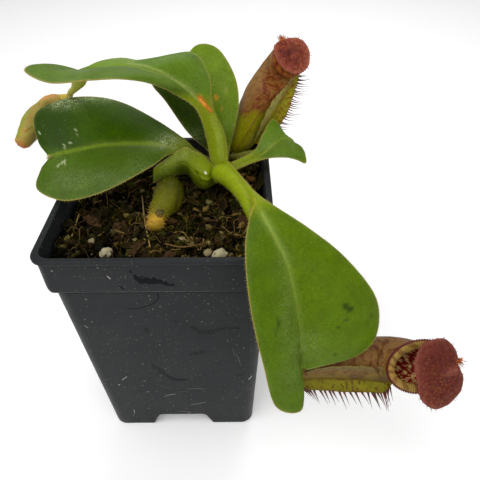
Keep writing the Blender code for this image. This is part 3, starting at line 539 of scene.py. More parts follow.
def hairs(name, roots, ways, lengths, radius, tint, mat=HAIR):
    """Many thin three-sided spikes as one mesh."""
    roots = np.asarray(roots, float).reshape(-1, 3)
    ways = unit(np.asarray(ways, float).reshape(-1, 3))
    lengths = np.broadcast_to(np.asarray(lengths, float), (len(roots),))[:, None]
    across = unit(np.cross(ways, np.array([0.31, 0.52, 0.79])))
    other = np.cross(ways, across)
    points = []
    for k in range(3):
        a = 2 * math.pi * k / 3
        points.append(roots - ways * 0.1 + radius * (math.cos(a) * across + math.sin(a) * other))
    points.append(roots + ways * lengths)
    points = np.stack(points, axis=1)
    count = len(roots)
    faces = []
    for i in range(count):
        b = 4 * i
        faces += [(b, b + 1, b + 3), (b + 1, b + 2, b + 3), (b + 2, b, b + 3), (b + 2, b + 1, b)]
    tint = np.broadcast_to(np.asarray(tint, float), (count, 3))
    make(name, points, faces, mat, np.repeat(tint, 4, axis=0), flat=True)


def bristles(name, roots, ways, lengths, radius, droop, tint):
    """Curved bristles, each a four-sided spike in five steps."""
    points = []
    faces = []
    tints = []
    for root, way, length, colour in zip(roots, unit(ways), lengths, tint):
        across = unit(np.cross(way, (0.2, 0.5, 0.84)))
        other = np.cross(way, across)
        base = len(points)
        for step in range(5):
            f = step / 4
            centre = root + way * length * f + np.asarray(droop) * length * f * f
            r = radius * (0.12 + 0.88 * (1 - f) ** 1.6)
            for k in range(4):
                a = math.pi / 2 * k
                points.append(centre + r * (math.cos(a) * across + math.sin(a) * other))
                tints.append(colour)
        faces += grid_faces(5, 4, base, closed=True)
        faces += [(base, base + 1, base + 2, base + 3), (base + 16, base + 17, base + 18, base + 19)]
    make(name, points, faces, HAIR, tints)


# Leaves.

HALF = 36                 # points from a leaf's rib to its margin
FINE = 12                 # rows between two cross lines
BLADE_ARCH = 0.06         # how far a blade bulges between rib and margin
VEIN_LANES = 7            # long veins on each side of the rib
VEIN_HEIGHT = 0.012
MARGIN_STEP = 0.45        # between the hairs along a margin
STALK_HAIRS = 420
DOWN_HAIRS = 500


def leaf_sheet(rows, round_rows):
    """Upper face of a leaf with its up directions.

    The stalk's lines are round and the blade's are two arches.
    """
    lines = spline(rows, np.linspace(0, 1, FINE * (len(rows) - 1) + 1))
    where = np.linspace(0, 1, len(lines))
    bulges = spline_value(STALK_ARCH + (BLADE_ARCH,) * (len(rows) - len(STALK_ARCH)), where)[:, None]
    at_row = np.linspace(0, len(rows) - 1, len(lines))[:, None]
    rounded = 1 - smooth(at_row, round_rows - 0.6, round_rows + 0.6)
    rib = lines[:, 1]
    ahead = unit(np.gradient(rib, axis=0))
    side = unit(lines[:, 2] - lines[:, 0])
    up = unit(np.cross(side, ahead))
    up[-FINE - 1:] = up[-FINE - 2]
    f = 0.5 - 0.5 * np.cos(np.linspace(0, 1, HALF + 1)[1:] * math.pi)
    places = np.concatenate([-f[::-1], [0], f])
    span = (lines[:, 2] - lines[:, 0]) / 2
    bend = (lines[:, 2] + lines[:, 0]) / 2 - rib
    half = np.linalg.norm(span, axis=1, keepdims=True)
    grid = []
    for place in places:
        edge = lines[:, 0] if place < 0 else lines[:, 2]
        width = np.linalg.norm(edge - rib, axis=1, keepdims=True)
        g = abs(place)
        arched = rib + (edge - rib) * g + bulges * 4 * g * (1 - g) * width * up
        tube = rib + place * span + g * g * bend + 0.6 * bulges * (1 - g * g) * half * up
        grid.append(arched * (1 - rounded) + tube * rounded)
    return np.stack(grid, axis=1), up, places


def leaf_faces(count, wide):
    """Faces of a leaf's two sides and of the thin edge between them."""
    lower = count * wide
    faces = grid_faces(count, wide) + grid_faces(count, wide, lower)
    for i in range(count - 1):
        for j in (0, wide - 1):
            a = i * wide + j
            faces.append((a, a + wide, lower + a + wide, lower + a))
    for i in (0, count - 1):
        for j in range(wide - 1):
            a = i * wide + j
            faces.append((a, lower + a, lower + a + 1, a + 1))
    return faces


def leaf_marks(tint, top, seen, marks):
    """Paint ragged blots; each is a place in the photograph's frame, a size, a colour and an amount."""
    for x, y, size, colour, amount in marks:
        far = np.linalg.norm(seen - np.array([x, y]), axis=2)
        ragged = far * (1 + 0.3 * cloud(top, 1.5, x))
        tint = blend(tint, srgb(*colour), amount * (1 - smooth(ragged, size * 0.6, size)))
    return tint


def leaf_hair_and_sheen(top, seen, edge, patches):
    """How much pale hair and painted sheen shows: a rim of hair, and patches with a place, a width, a height
    and an amount.
    """
    hazy = 0.1 * bell(edge, 1.6)
    for x, y, width, height, amount in patches:
        far = np.linalg.norm((seen - np.array([x, y])) / np.array([width, height]), axis=2)
        hazy = hazy + amount * bell(far, 1.0) * (0.7 + 0.6 * cloud(top, 2.5, x))
    return hazy


def leaf(name, node, rows, depths, colours, stalk, round_rows, hair_and_sheen, spread=3.0, marks=(), extra=None):
    """A leaf with its stalk: a fine blade with keel, rib groove and long veins, painted.

    The stalk ends at a share of the length. The colours are those of the left half, the right half,
    the rib and the stalk.
    """
    top, up, places = leaf_sheet(rows, round_rows)
    count, wide = top.shape[:2]
    v = np.linspace(0, 1, count)[:, None]
    normal = unit(np.cross(np.gradient(top, axis=1), np.gradient(top, axis=0)))
    normal = np.where((normal * up[:, None]).sum(axis=2, keepdims=True) > 0.35, normal, up[:, None])
    normal[-FINE - 1:] = up[-1]
    out = np.linalg.norm(top - top[:, HALF:HALF + 1], axis=2)
    edge = np.minimum(np.linalg.norm(top - top[:, :1], axis=2), np.linalg.norm(top - top[:, -1:], axis=2))
    blade = smooth(v, stalk, stalk + 0.1)
    ends = 1 - smooth(v, 0.9, 1.0)
    lanes = np.abs(places)[None, :] * VEIN_LANES
    veins = bell((lanes % 1) - 0.5, 0.12) * (lanes > 0.9) * blade * ends
    lift = -0.35 * bell(out, 0.9) * blade + 0.22 * cloud(top, 9.0, 1) * ends * smooth(edge, 0, 4)
    top = top + normal * (lift + VEIN_HEIGHT * veins)[..., None]
    keel = (spline_value(depths, v[:, 0])[:, None] - BLADE) * np.exp(-(out / spread) ** 2)
    thick = BLADE * (0.45 + 0.55 * smooth(edge, 0, 1.2))
    under = top - normal * thick[..., None] - up[:, None] * keel[..., None]

    left, right, pale, stem = (srgb(*colour) for colour in colours)
    tint = blend(left, right, smooth(places[None, :] * np.ones((count, 1)), -0.15, 0.15))
    tint = tint * (1 + 0.16 * cloud(top, 6.0, 2) + 0.1 * cloud(top, 1.7, 3))[..., None]
    tint = blend(tint, pale * 0.9, 0.03 * veins)
    tint = blend(tint, pale, keel * (0.45 * bell(out, 1.9) + 0.3 * bell(out, 0.6)) * (1 - 0.4 * v) * blade)
    tint = blend(tint, stem, (1 - blade) * 0.9)
    tint = blend(tint, srgb(176, 150, 60), 0.7 * bell(edge, 0.32))
    seen = picture(top)
    tint = leaf_marks(tint, top, seen, marks)
    if extra is not None:
        tint = extra(tint, seen)
    below = blend(tint, pale * 0.8, 0.35)
    upper = np.concatenate([tint, leaf_hair_and_sheen(top, seen, edge, hair_and_sheen)[..., None]], axis=2)
    lower = np.concatenate([below, np.full((count, wide, 1), 0.1)], axis=2)
    make(name, np.stack([top, under]), leaf_faces(count, wide), LEAF, np.stack([upper, lower]), node)
    fringe(name, top, normal, stalk)


def fringe(name, top, normal, stalk):
    """Short pale hairs along a leaf's margins and on its stalk."""
    roots = []
    ways = []
    for margin, inner in ((0, 2), (-1, -3)):
        line = top[:, margin]
        steps = np.linalg.norm(np.diff(line, axis=0), axis=1)
        length = np.concatenate([[0], np.cumsum(steps)])
        where = np.arange(0, length[-1], MARGIN_STEP)
        where = where + rng.uniform(0, 0.3, len(where))
        roots.append(read_along(where, length, line))
        ways.append(read_along(where, length, unit(line - top[:, inner])))
    roots = np.vstack(roots)
    ways = np.vstack(ways) + rng.normal(0, 0.35, roots.shape)
    rows = rng.integers(0, max(2, int(len(top) * (stalk + 0.08))), STALK_HAIRS)
    cols = rng.integers(0, top.shape[1], STALK_HAIRS)
    roots = np.vstack([roots, top[rows, cols]])
    ways = np.vstack([ways, normal[rows, cols] + rng.normal(0, 0.4, (STALK_HAIRS, 3))])
    lengths = rng.uniform(0.4, 1.15, len(roots))
    hairs(name + "_hairs", roots, ways, lengths, 0.055, srgb(168, 158, 92))


def tendril(name, points, radii, low, high, sides=20, steps=60):
    """A round tendril, painted from one colour to another."""
    where = np.linspace(0, 1, steps)
    rings = tube_rings(spline(points, where), spline_value(radii, where), sides)[0]
    pts, faces = capped(rings)
    tint = blend(srgb(*low), srgb(*high), np.repeat(where[:, None], sides, axis=1))
    tint = cap_tint(tint) * (1 + 0.14 * cloud(pts, 1.5, 4))[:, None]
    return make(name, pts, faces, STALK, tint)


def down(obj):
    """Fine pale hairs all over a stalk."""
    verts = np.array([v.co for v in obj.data.vertices])
    normals = np.array([v.normal for v in obj.data.vertices])
    picks = rng.integers(0, len(verts), DOWN_HAIRS)
    roots = (verts[picks] - MIDDLE) / MM
    ways = normals[picks] + rng.normal(0, 0.4, (DOWN_HAIRS, 3))
    lengths = rng.uniform(0.3, 0.9, DOWN_HAIRS)
    hairs(obj.name + "_hairs", roots, ways, lengths, 0.045, srgb(190, 184, 110))


def tube_rings(path, radius, sides):
    """Rings round a path, with their outward directions."""
    ahead = unit(np.gradient(path, axis=0))
    side = np.array([0.0, 0.0, 1.0])
    sides_at = []
    for t in ahead:
        side = unit(side - t * side.dot(t))
        sides_at.append(side)
    u = np.array(sides_at)
    w = np.cross(ahead, u)
    angles = np.arange(sides) * 2 * math.pi / sides
    ring = u[:, None] * np.cos(angles)[None, :, None] + w[:, None] * np.sin(angles)[None, :, None]
    return path[:, None] + ring * np.asarray(radius)[:, None, None], ring


# Pitchers.

CUP_STEPS = 97            # rows along a cup's axis
CUP_ROUND = 120           # points round a cup
CUP_FLOOR = 0.25          # where the hollow of a cup starts along its axis
WING_STEPS = 90
WING_COLS = 9
LIP_RISE = 1.6
LIP_SEAT = 0.35
LID_ROUND = 240
LID_THICK = 1.0
TUFT_HAIRS = 150


class Pitcher:
    """The measures of one cup: its bent axis, radii, mouth plane and wing side."""

    def __init__(self, axis, radii, mouth, fronts, oval):
        self.where = np.linspace(0, 1, CUP_STEPS)
        self.path = spline(axis, self.where)
        self.radius = spline_value(radii, self.where)
        ahead = unit(np.gradient(self.path, axis=0))
        turn = smooth(self.where, MOUTH_START, 1)[:, None]
        self.normal = unit(ahead * (1 - turn) + unit(mouth) * turn)
        front = unit(fronts[0]) * (1 - turn) + unit(fronts[1]) * turn
        self.front = unit(front - self.normal * (self.normal * front).sum(axis=1, keepdims=True))
        self.side = np.cross(self.normal, self.front)
        self.oval = 1 + (oval - 1) * turn[:, 0]

    def read(self, where, vectors):
        """Unit vectors of the axis at places along it."""
        return unit(read_along(where, self.where, vectors))

    def spot(self, where, angle, out, up=0.0):
        """Points at places along the axis and angles round it, out from the wall."""
        where = np.asarray(where, float)
        path = read_along(where, self.where, self.path)
        front, side, normal = (self.read(where, v) for v in (self.front, self.side, self.normal))
        radius = np.interp(where, self.where, self.radius)
        oval = np.interp(where, self.where, self.oval)
        reach = (oval * radius + out) * np.cos(angle)
        width = (radius + out) * np.sin(angle)
        return path + reach[..., None] * front + width[..., None] * side + np.asarray(up)[..., None] * normal

    def radial(self, where, angle):
        """The outward direction at a place on the wall."""
        front, side = (self.read(where, v) for v in (self.front, self.side))
        return np.cos(angle)[..., None] * front + np.sin(angle)[..., None] * side


def cup(name, node, pitcher, paint):
    """An open cup: outer wall, rim, inner wall and floor, painted by place and angle."""
    angles = np.arange(CUP_ROUND) * 2 * math.pi / CUP_ROUND
    where, around = np.meshgrid(pitcher.where, angles, indexing="ij")
    outer = pitcher.spot(where, around, 0.0)
    along = np.gradient(outer, axis=0)
    out = unit(np.cross(np.roll(outer, -1, axis=1) - np.roll(outer, 1, axis=1), along))
    lumps = 0.12 * cloud(outer, 4.0, 5)
    inner = outer - out * CUP_WALL
    inner[-1] = pitcher.spot(np.ones(CUP_ROUND), angles, -CUP_WALL)
    outer = outer + out * lumps[..., None]
    start = int(CUP_FLOOR * (CUP_STEPS - 1))
    points, faces = capped(np.concatenate([outer, inner[:start - 1:-1]]))
    tint = np.concatenate([paint(outer, where, around, False),
                           paint(inner, where, around, True)[:start - 1:-1]])
    make(name, points, faces, CUP, cap_tint(tint), node)


def wing(name, pitcher, angle, first, last, width, lean, paint, count, length, bristle, colour,
         tilt=-0.25, droop=(0.12, 0, -0.12)):
    """A thin fringed wing down a cup's wall, with curved bristles on its edge."""
    where = np.linspace(first, last, WING_STEPS)
    spread = np.sin(np.linspace(0.06, 0.99, WING_STEPS) * math.pi) ** 0.5
    width = np.interp(np.linspace(0, 1, WING_STEPS), np.linspace(0, 1, len(width)), width)
    angle_at = np.linspace(*angle, WING_STEPS)
    root = pitcher.spot(where, angle_at, -0.6)
    base = pitcher.spot(where, angle_at, 0.0)
    away = pitcher.radial(where, angle_at + np.linspace(*lean, WING_STEPS))
    normal = pitcher.read(where, pitcher.normal)
    wave = 0.35 * np.sin(np.arange(WING_STEPS) * 0.55) * spread
    flat = unit(np.cross(normal, away))
    edge = base + away * ((width + wave * 0.4) * spread)[:, None] + flat * (wave * 0.8)[:, None]
    across = np.linspace(0, 1, WING_COLS)
    sheet = [root * (1 - f) + edge * f - flat * (0.35 * (1 - 0.6 * f)) for f in across]
    sheet += [root * (1 - f) + edge * f + flat * (0.35 * (1 - 0.6 * f)) for f in across[::-1]]
    ring = np.stack(sheet, axis=1)
    points, faces = capped(ring)
    spots = np.repeat(np.concatenate([across, across[::-1]])[None], WING_STEPS, axis=0)
    make(name, points, faces, CUP, cap_tint(paint(ring, spots)))
    picks = np.linspace(4, WING_STEPS - 5, count) + rng.uniform(-0.8, 0.8, count)
    low = np.floor(picks).astype(int)
    f = (picks - low)[:, None]
    roots = edge[low] * (1 - f) + edge[low + 1] * f
    ways = away[low] + tilt * normal[low] + rng.normal(0, 0.1, (count, 3))
    lengths = length * (0.55 + 0.45 * spread[low]) * rng.uniform(0.75, 1.15, count)
    tints = [srgb(*colour) * rng.uniform(0.7, 1.3) for _ in range(count)]
    bristles(name + "_bristles", roots, ways, lengths, bristle, droop, tints)


def lip(name, node, pitcher, width, ribs, bands, light, dark, edge_dark):
    """The ribbed, rolled lip round the mouth, with a toothed outer edge."""
    inner = -CUP_WALL - LIP_SEAT
    profile = np.array([(inner, LIP_SEAT), (inner - 0.05, 0.75), (inner + 0.5, 1.15), (0.1, LIP_RISE),
                        (width - 0.9, LIP_RISE), (width - 0.25, LIP_RISE - 0.35), (width, LIP_RISE / 2),
                        (width - 0.5, LIP_SEAT), (0.2, LIP_SEAT + 0.1), (inner, LIP_SEAT)])
    shape = spline(profile, np.linspace(0, 1, 27))[:-1]
    steps = ribs * 6
    angles = np.arange(steps) * 2 * math.pi / steps
    rib = np.cos(angles * ribs)
    circle = np.stack([np.cos(angles), np.sin(angles), 0 * angles], axis=1) * 10
    patch = smooth(cloud(circle, 4.0, bands), -0.1, 0.4)
    rings = []
    tints = []
    for out, up in shape:
        across = np.clip((out - inner) / (width - inner), 0, 1)
        raised = up > LIP_SEAT + 0.2
        reach = out + (0.22 * rib * smooth(across, 0.75, 1.0) if raised else 0)
        height = up + (0.09 * rib if raised else 0)
        rings.append(pitcher.spot(np.ones(steps), angles, reach, height * np.ones(steps)))
        band = 0.5 + 0.5 * np.sin(angles * bands + 2.0 * np.sin(angles * 3 + across * 2))
        colour = blend(srgb(*light), srgb(*dark), smooth(band, 0.4, 0.8) * (0.5 + 0.5 * patch))
        colour = blend(colour, srgb(*edge_dark), smooth(across, 0.72, 0.9))
        # Painted light and shade: the colour is lighter on the ribs' crests and darker in their grooves.
        tints.append(colour * (1 + 0.25 * rib[:, None]))
    ring = np.stack(rings, axis=1)
    cols = len(shape)
    faces = []
    for i in range(steps):
        k = (i + 1) % steps
        for j in range(cols):
            n = (j + 1) % cols
            faces.append((i * cols + j, i * cols + n, k * cols + n, k * cols + j))
    make(name, ring, faces, LIP, np.stack(tints, axis=1), node)


def lid_tint(body, flat, scale, reach, crest_side, colours, dark, upper):
    """A lid's colours on one ring: maroon with specks, rosy near the margin, and a painted highlight along
    the crest on top.
    """
    maroon, pale, dull = colours
    speck = smooth(cloud(body, 0.7, 8) + 0.6 * cloud(body, 0.35, 9), 0.0, 0.5)
    colour = blend(maroon, dull, speck * (0.55 + 0.35 * np.clip(flat[:, 1] / reach, -1, 1)))
    colour = blend(colour, maroon * 0.4, smooth(cloud(body, 1.1, 12), 0.1, 0.5) * 0.55)
    colour = blend(colour, maroon * 0.35, dark * bell(scale, 0.55) * smooth(cloud(body, 2.2, 14), -0.4, 0.2))
    rosy = 0.6 * smooth(scale, 0.84, 1.0) + 0.25 * smooth(scale, 0.55, 0.9)
    colour = blend(colour, pale, rosy * (0.6 + 0.4 * cloud(body, 2.0, 15)))
    # Painted highlight along the crease on the lid's upper face.
    crest_highlight = bell(flat[:, 1] - crest_side - 1.6, 1.2) * smooth(flat[:, 0], 1.0, 4.0)
    crest_highlight = crest_highlight * smooth(15.0 - flat[:, 0], 0, 8.0)
    return blend(colour, pale * 1.5, upper * (1 - dark) * crest_highlight * (0.7 + 0.5 * cloud(body, 1.0, 16)))


def lid(name, node, place, outline, dome, spur, seat, colours, dark, count, length):
    """A domed lid with dents and mottling, its neck, spur, hair tuft and edge bristles."""
    hinge, ahead, up = (np.asarray(v, float) for v in place)
    ahead = unit(ahead)
    up = unit(up - ahead * np.dot(up, ahead))
    side = np.cross(up, ahead)
    rim = spline(outline, np.linspace(0, 1, LID_ROUND + 1))[:-1]
    scallop = cloud(np.hstack([rim, np.zeros((LID_ROUND, 1))]), 1.3, 13)
    rim = rim + 0.22 * scallop[:, None] * unit(rim - rim.mean(axis=0))
    middle = rim.mean(axis=0)
    reach = np.linalg.norm(rim - middle, axis=1).max()
    shades = [srgb(*colour) for colour in colours]
    rings = []
    tints = []
    levels = list(np.linspace(0.03, 0.96, 34)) + [0.98, 1.0]
    for lower, scales in ((0, levels), (1, levels[::-1])):
        for scale in scales:
            flat = middle + (rim - middle) * scale
            drop = dome * (np.linalg.norm(flat - middle, axis=1) / reach) ** 2
            body = hinge + flat[:, :1] * ahead + flat[:, 1:] * side
            drop = drop + lower * LID_THICK * (1 - 0.5 * smooth(scale, 0.9, 1.0))
            drop = drop + (1 - lower) * 0.5 * LID_THICK * smooth(scale, 0.95, 1.0)
            fade = 1 - smooth(scale, 0.9, 1.0)
            dent = 0.45 * cloud(body, 5.0, 6) * fade + 0.12 * cloud(body, 1.2, 7) * fade
            fold = -0.8 * bell(flat[:, 1] - middle[1] * 0.4, 1.3) * smooth(9.0 - flat[:, 0], 0, 9.0) * fade
            body = body - (drop - (dent + fold) * (1 - lower))[:, None] * up
            rings.append(body)
            tints.append(lid_tint(body, flat, scale, reach, middle[1] * 0.4, shades, dark, 1 - lower))
    points, faces = capped(rings)
    make(name, points, faces, LID, cap_tint(tints), node)
    start = hinge + ahead * 3.5 - up * (0.7 * dome + 0.5)
    neck = (start, (start + seat) / 2, seat)
    tendril(name + "_neck", neck, (1.2, 1.0, 0.9), colours[0], colours[0])
    tail = (start, start - ahead * spur * 0.6, start - ahead * spur)
    tendril(name + "_spur", tail, (1.2, 0.9, 0.3), colours[0], (150, 90, 40))
    drop = dome * (np.linalg.norm(rim - middle, axis=1) / reach) ** 2 + 0.5
    edge = hinge + rim[:, :1] * ahead + rim[:, 1:] * side - drop[:, None] * up
    outward = unit((rim - middle)[:, :1] * ahead + (rim - middle)[:, 1:] * side)
    lid_bristles(name, edge, outward, start, ahead, up, count, length)


def lid_bristles(name, edge, outward, start, ahead, up, count, length):
    """Short bristles round a lid and a tuft of hairs on its spur."""
    picks = rng.choice(len(edge), count, replace=False)
    ways = outward[picks] + 0.3 * up + rng.normal(0, 0.3, (count, 3))
    lengths = length * rng.uniform(0.4, 1.2, count)
    hairs(name + "_bristles", edge[picks], ways, lengths, 0.11, srgb(110, 48, 36))
    roots = start - ahead * rng.uniform(0.2, 3.2, (TUFT_HAIRS, 1)) + rng.normal(0, 0.7, (TUFT_HAIRS, 3))
    ways = -0.8 * ahead + 0.6 * up + rng.normal(0, 0.7, (TUFT_HAIRS, 3))
    tints = np.array([srgb(206, 110, 44), srgb(112, 50, 24)])[rng.integers(0, 2, TUFT_HAIRS)]
    hairs(name + "_tuft", roots, ways, rng.uniform(0.8, 2.2, TUFT_HAIRS), 0.15, tints)


# Paints for the cups.

def front_paint(points, where, angle, inside):
    """Brown mauve above, olive below, cream with dark blotches inside the mouth."""
    if inside:
        blot = smooth(cloud(points, 0.9, 21) + 0.35 * cloud(points, 0.45, 22), -0.3, -0.18)
        colour = blend(srgb(250, 216, 140), srgb(140, 8, 10), blot)
        # Painted shade: deeper inside the cup, the wall darkens to brown.
        return blend(srgb(80, 60, 30) * np.ones(points.shape), colour, smooth(where, 0.4, 0.65))
    turn = np.mod(angle + math.pi, 2 * math.pi) - math.pi
    belly = bell(turn - 0.25, 0.45)
    colour = blend(srgb(122, 86, 42), srgb(114, 96, 40), belly)
    mottle = smooth(cloud(points, 1.6, 23) + 0.4 * cloud(points, 0.7, 25), 0.0, 0.4)
    colour = blend(colour, srgb(78, 36, 16), mottle * (0.75 - 0.4 * belly))
    smudge = smooth(cloud(points, 6, 24), -0.1, 0.3) * belly
    return blend(colour, srgb(74, 48, 32), 0.6 * smudge)


def back_paint(points, where, angle, inside):
    """Red brown above, olive yellow below."""
    if inside:
        blot = smooth(cloud(points, 0.9, 31), 0.0, 0.2)
        return blend(srgb(220, 190, 100), srgb(120, 22, 18), blot)
    turn = np.mod(angle + math.pi, 2 * math.pi) - math.pi
    belly = bell(turn - 0.3, 0.3)
    level = points[..., 2] + 3 * cloud(points, 4, 32) - 0.35 * (points[..., 0] - 40)
    colour = blend(srgb(134, 130, 2), srgb(134, 84, 40), smooth(level, 145, 149))
    colour = colour * (1 + 0.2 * (1 - smooth(level, 145, 149)) * cloud(points, 1.4, 36))[..., None]
    mottle = smooth(cloud(points, 1.2, 33) + 0.4 * cloud(points, 0.6, 35), -0.35, 0.3)
    colour = blend(colour, srgb(98, 38, 14), mottle * 0.85 * smooth(level, 144, 149))
    left = smooth(-(points[..., 0] - 36 - 0.62 * (points[..., 2] - 139)), 5.0, 9)
    colour = blend(colour, srgb(140, 110, 62), 0.5 * left * smooth(level, 146, 151))
    colour = blend(colour, srgb(134, 124, 48), belly * 0.7)
    return blend(colour, srgb(150, 138, 40), 0.2 * smooth(cloud(points, 2.2, 34), 0.1, 0.5))


def wing_paint(base, spot_colour, dots, edge_colour, fold_colour=None):
    """A wing's paint: a base colour with dots, a coloured edge and a fold line at its root."""
    def paint(points, across):
        colour = np.ones(points.shape) * srgb(*base) * (1 + 0.15 * cloud(points, 2.0, 41))[..., None]
        blot = smooth(cloud(points, 1.0, 42), 0.22, 0.4) * dots
        colour = blend(colour, srgb(*spot_colour), blot)
        if fold_colour is not None:
            colour = blend(colour, srgb(*fold_colour), 0.8 * (1 - smooth(across, 0.08, 0.2)))
        return blend(colour, srgb(*edge_colour), smooth(across, 0.8, 1.0) * 0.6)
    return paint


# Young pitchers.

YOUNG_ROUND = 56
YOUNG_STEPS = 90
YOUNG_HAIRS = 500


def young(name, node, axis, radii, paint):
    """A closed young pitcher, painted along its length."""
    where = np.linspace(0, 1, YOUNG_STEPS)
    rings, ring = tube_rings(spline(axis, where), spline_value(radii, where), YOUNG_ROUND)
    where = np.repeat(where[:, None], YOUNG_ROUND, axis=1)
    lump = 0.25 * cloud(rings, 3.5, 51)
    rings = rings + ring * (lump * smooth(where, 0, 0.08) * (1 - smooth(where, 0.95, 1)))[..., None]
    points, faces = capped(rings)
    make(name, points, faces, YOUNG, cap_tint(paint(rings, where)), node)
    picks = rng.integers(0, YOUNG_STEPS * YOUNG_ROUND, YOUNG_HAIRS)
    picks = picks[rng.uniform(0, 1, YOUNG_HAIRS) < 0.35 + 0.65 * where.reshape(-1)[picks]]
    roots = rings.reshape(-1, 3)[picks]
    ways = ring.reshape(-1, 3)[picks] + rng.normal(0, 0.35, roots.shape)
    lengths = rng.uniform(0.4, 1.3, len(roots))
    hairs(name + "_hairs", roots, ways, lengths, 0.06, srgb(190, 150, 80))
    return rings


def left_paint(points, where):
    """Yellow green, orange at its ends, with a brown tip."""
    seen = picture(points)
    colour = blend(srgb(168, 144, 68), srgb(148, 142, 66), bell(where - 0.5, 0.25))
    colour = blend(colour, srgb(190, 118, 60), smooth(cloud(points, 2.4, 81), 0.0, 0.45) * 0.36)
    rim = 1 - smooth(seen[..., 0] + 0.25 * (seen[..., 1] - 108), 25, 29)
    rim = rim * smooth(seen[..., 1], 104, 108) * (1 - smooth(seen[..., 1], 134, 140))
    colour = blend(colour, srgb(140, 150, 40), rim * 0.9)
    colour = stroke(colour, seen, ((38, 99), (52, 96)), 3.0, (206, 142, 84), 0.6)
    # Painted shade: a dark line along a crease.
    colour = stroke(colour, seen, ((25, 131.5), (32, 127)), 0.9, (120, 92, 34), 0.8)
    return blend(colour, srgb(176, 84, 40), smooth(where, 0.82, 0.97) * 0.8)


def small_paint(points, where):
    """Yellow green, orange yellow at the tip, with painted shade along a fold on its right and one brown
    spot.
    """
    seen = picture(points)
    colour = blend(srgb(70, 73, 3), srgb(100, 100, 6), smooth(where, 0.2, 0.5))
    colour = blend(colour, srgb(180, 144, 42), smooth(where + 0.05 * cloud(points, 2.0, 83), 0.6, 0.82))
    colour = colour * (1 + 0.2 * cloud(points, 2.0, 82))[..., None]
    # Painted shade: a dark band along a fold on the right side.
    fold = bell(seen[..., 0] - 178.5 + 0.2 * np.maximum(0, seen[..., 1] - 195), 1.5)
    fold = fold * smooth(seen[..., 1], 182, 190) * (1 - smooth(seen[..., 1], 206, 212))
    colour = blend(colour, srgb(60, 50, 14), 0.6 * fold)
    far = np.linalg.norm((seen - np.array([160, 213])) / np.array([4.8, 4.2]), axis=-1)
    far = far * (1 + 0.3 * cloud(points, 1.2, 84))
    colour = blend(colour, srgb(48, 40, 20), (1 - smooth(far, 0.85, 1.1)) * 0.9)
    return blend(colour, srgb(98, 88, 44), (1 - smooth(far, 0.45, 0.8)) * 0.7)


# Pot.

def rounded_square(half, corner, height, steps=9):
    """One level of the pot: a square with round corners."""
    ring = []
    for quarter in range(4):
        turn = quarter * math.pi / 2
        middle = (half - corner) * math.sqrt(2)
        cx = middle * math.cos(turn + math.pi / 4)
        cy = middle * math.sin(turn + math.pi / 4)
        for step in range(steps + 1):
            a = turn + step / steps * math.pi / 2
            ring.append((cx + corner * math.cos(a), cy + corner * math.sin(a), height))
    return ring


def body_half(height):
    """Half the outer width of the pot's tapering body at a height."""
    top = RIM_WIDTH / 2 - FLANGE_REACH - COLLAR_STEP
    return BASE_WIDTH / 2 + (top - BASE_WIDTH / 2) * height / (POT_HEIGHT - COLLAR_HEIGHT)


def collar_half(height):
    """Half the outer width of the collar, which tapers a little."""
    return RIM_WIDTH / 2 - FLANGE_REACH - 0.03 * (POT_HEIGHT - height)


def cut(obj, points, faces, operation):
    """Join or cut one plain body."""
    tool = add_object("cutter", mesh_of("cutter", points, faces))
    mod = obj.modifiers.new("cut", "BOOLEAN")
    mod.operation = operation
    mod.solver = "EXACT"
    mod.object = tool
    bpy.context.view_layer.update()
    graph = bpy.context.evaluated_depsgraph_get()
    done = bpy.data.meshes.new_from_object(obj.evaluated_get(graph))
    obj.modifiers.clear()
    obj.data = done
    bpy.data.objects.remove(tool, do_unlink=True)


def channel(bottom, top, z0, z1, reach, along):
    """A trapezoid bar with rounded upper corners across the pot's base."""
    slope = (bottom - top) / (z1 - z0) / 2
    right = [(bottom / 2, z0), (top / 2 + 1.8 * slope, z1 - 1.8), (top / 2 - 0.1, z1 - 0.6),
             (top / 2 - 1.6, z1)]
    section = [(-bottom / 2, z0)] + right + [(-w, z) for w, z in right[:0:-1]]
    rings = []
    for end in (-reach, reach):
        rings.append([(end, w, z) if along == "x" else (w, end, z) for w, z in section])
    return capped(rings)


def pot_levels():
    """The pot's levels from the foot up outside and from the rim down inside: half width, corner, height."""
    c = POT_CORNER
    square = COLLAR_CORNER
    low = POT_HEIGHT - COLLAR_HEIGHT
    flange = POT_HEIGHT - FLANGE_THICK
    half = RIM_WIDTH / 2
    body = [(body_half(0) - 0.8, c, 0), (body_half(0.4) - 0.2, c, 0.4)]
    body += [(body_half(height), c, height) for height in (1, 2, 3.5)]
    body += [(body_half(low - 4), c + 1, low - 4), (body_half(low - 1) - 0.1, c + 1, low - 1.3)]
    collar = [
        (body_half(low) + 0.1, c + 1, low - 1), (collar_half(low) - 0.9, square + 0.5, low - 0.7),
        (collar_half(low) - 0.25, square, low), (collar_half(low), square, low + 1.2),
        (collar_half(low + 2.6), square, low + 2.6), (collar_half(flange - 2), square + 1, flange - 2),
        (collar_half(flange), square + 1, flange - 0.3),
    ]
    rim = [
        (collar_half(flange) + 0.2, c, flange), (half - 0.3, c, flange), (half, c, flange + 0.4),
        (half, c, POT_HEIGHT - 0.6), (half - 0.2, c, POT_HEIGHT - 0.2), (half - 0.6, c, POT_HEIGHT),
    ]
    i = c - WALL
    lip_in = collar_half(POT_HEIGHT) - WALL
    inside = [
        (lip_in + 0.5, i + 0.5, POT_HEIGHT), (lip_in + 0.1, i, POT_HEIGHT - 0.2),
        (lip_in, i, POT_HEIGHT - 0.6), (collar_half(low) - WALL, i, low + COLLAR_SLOPE),
        (body_half(low) - WALL, i, low), (body_half(0) - WALL, i, WALL),
    ]
    return body + collar + rim + inside


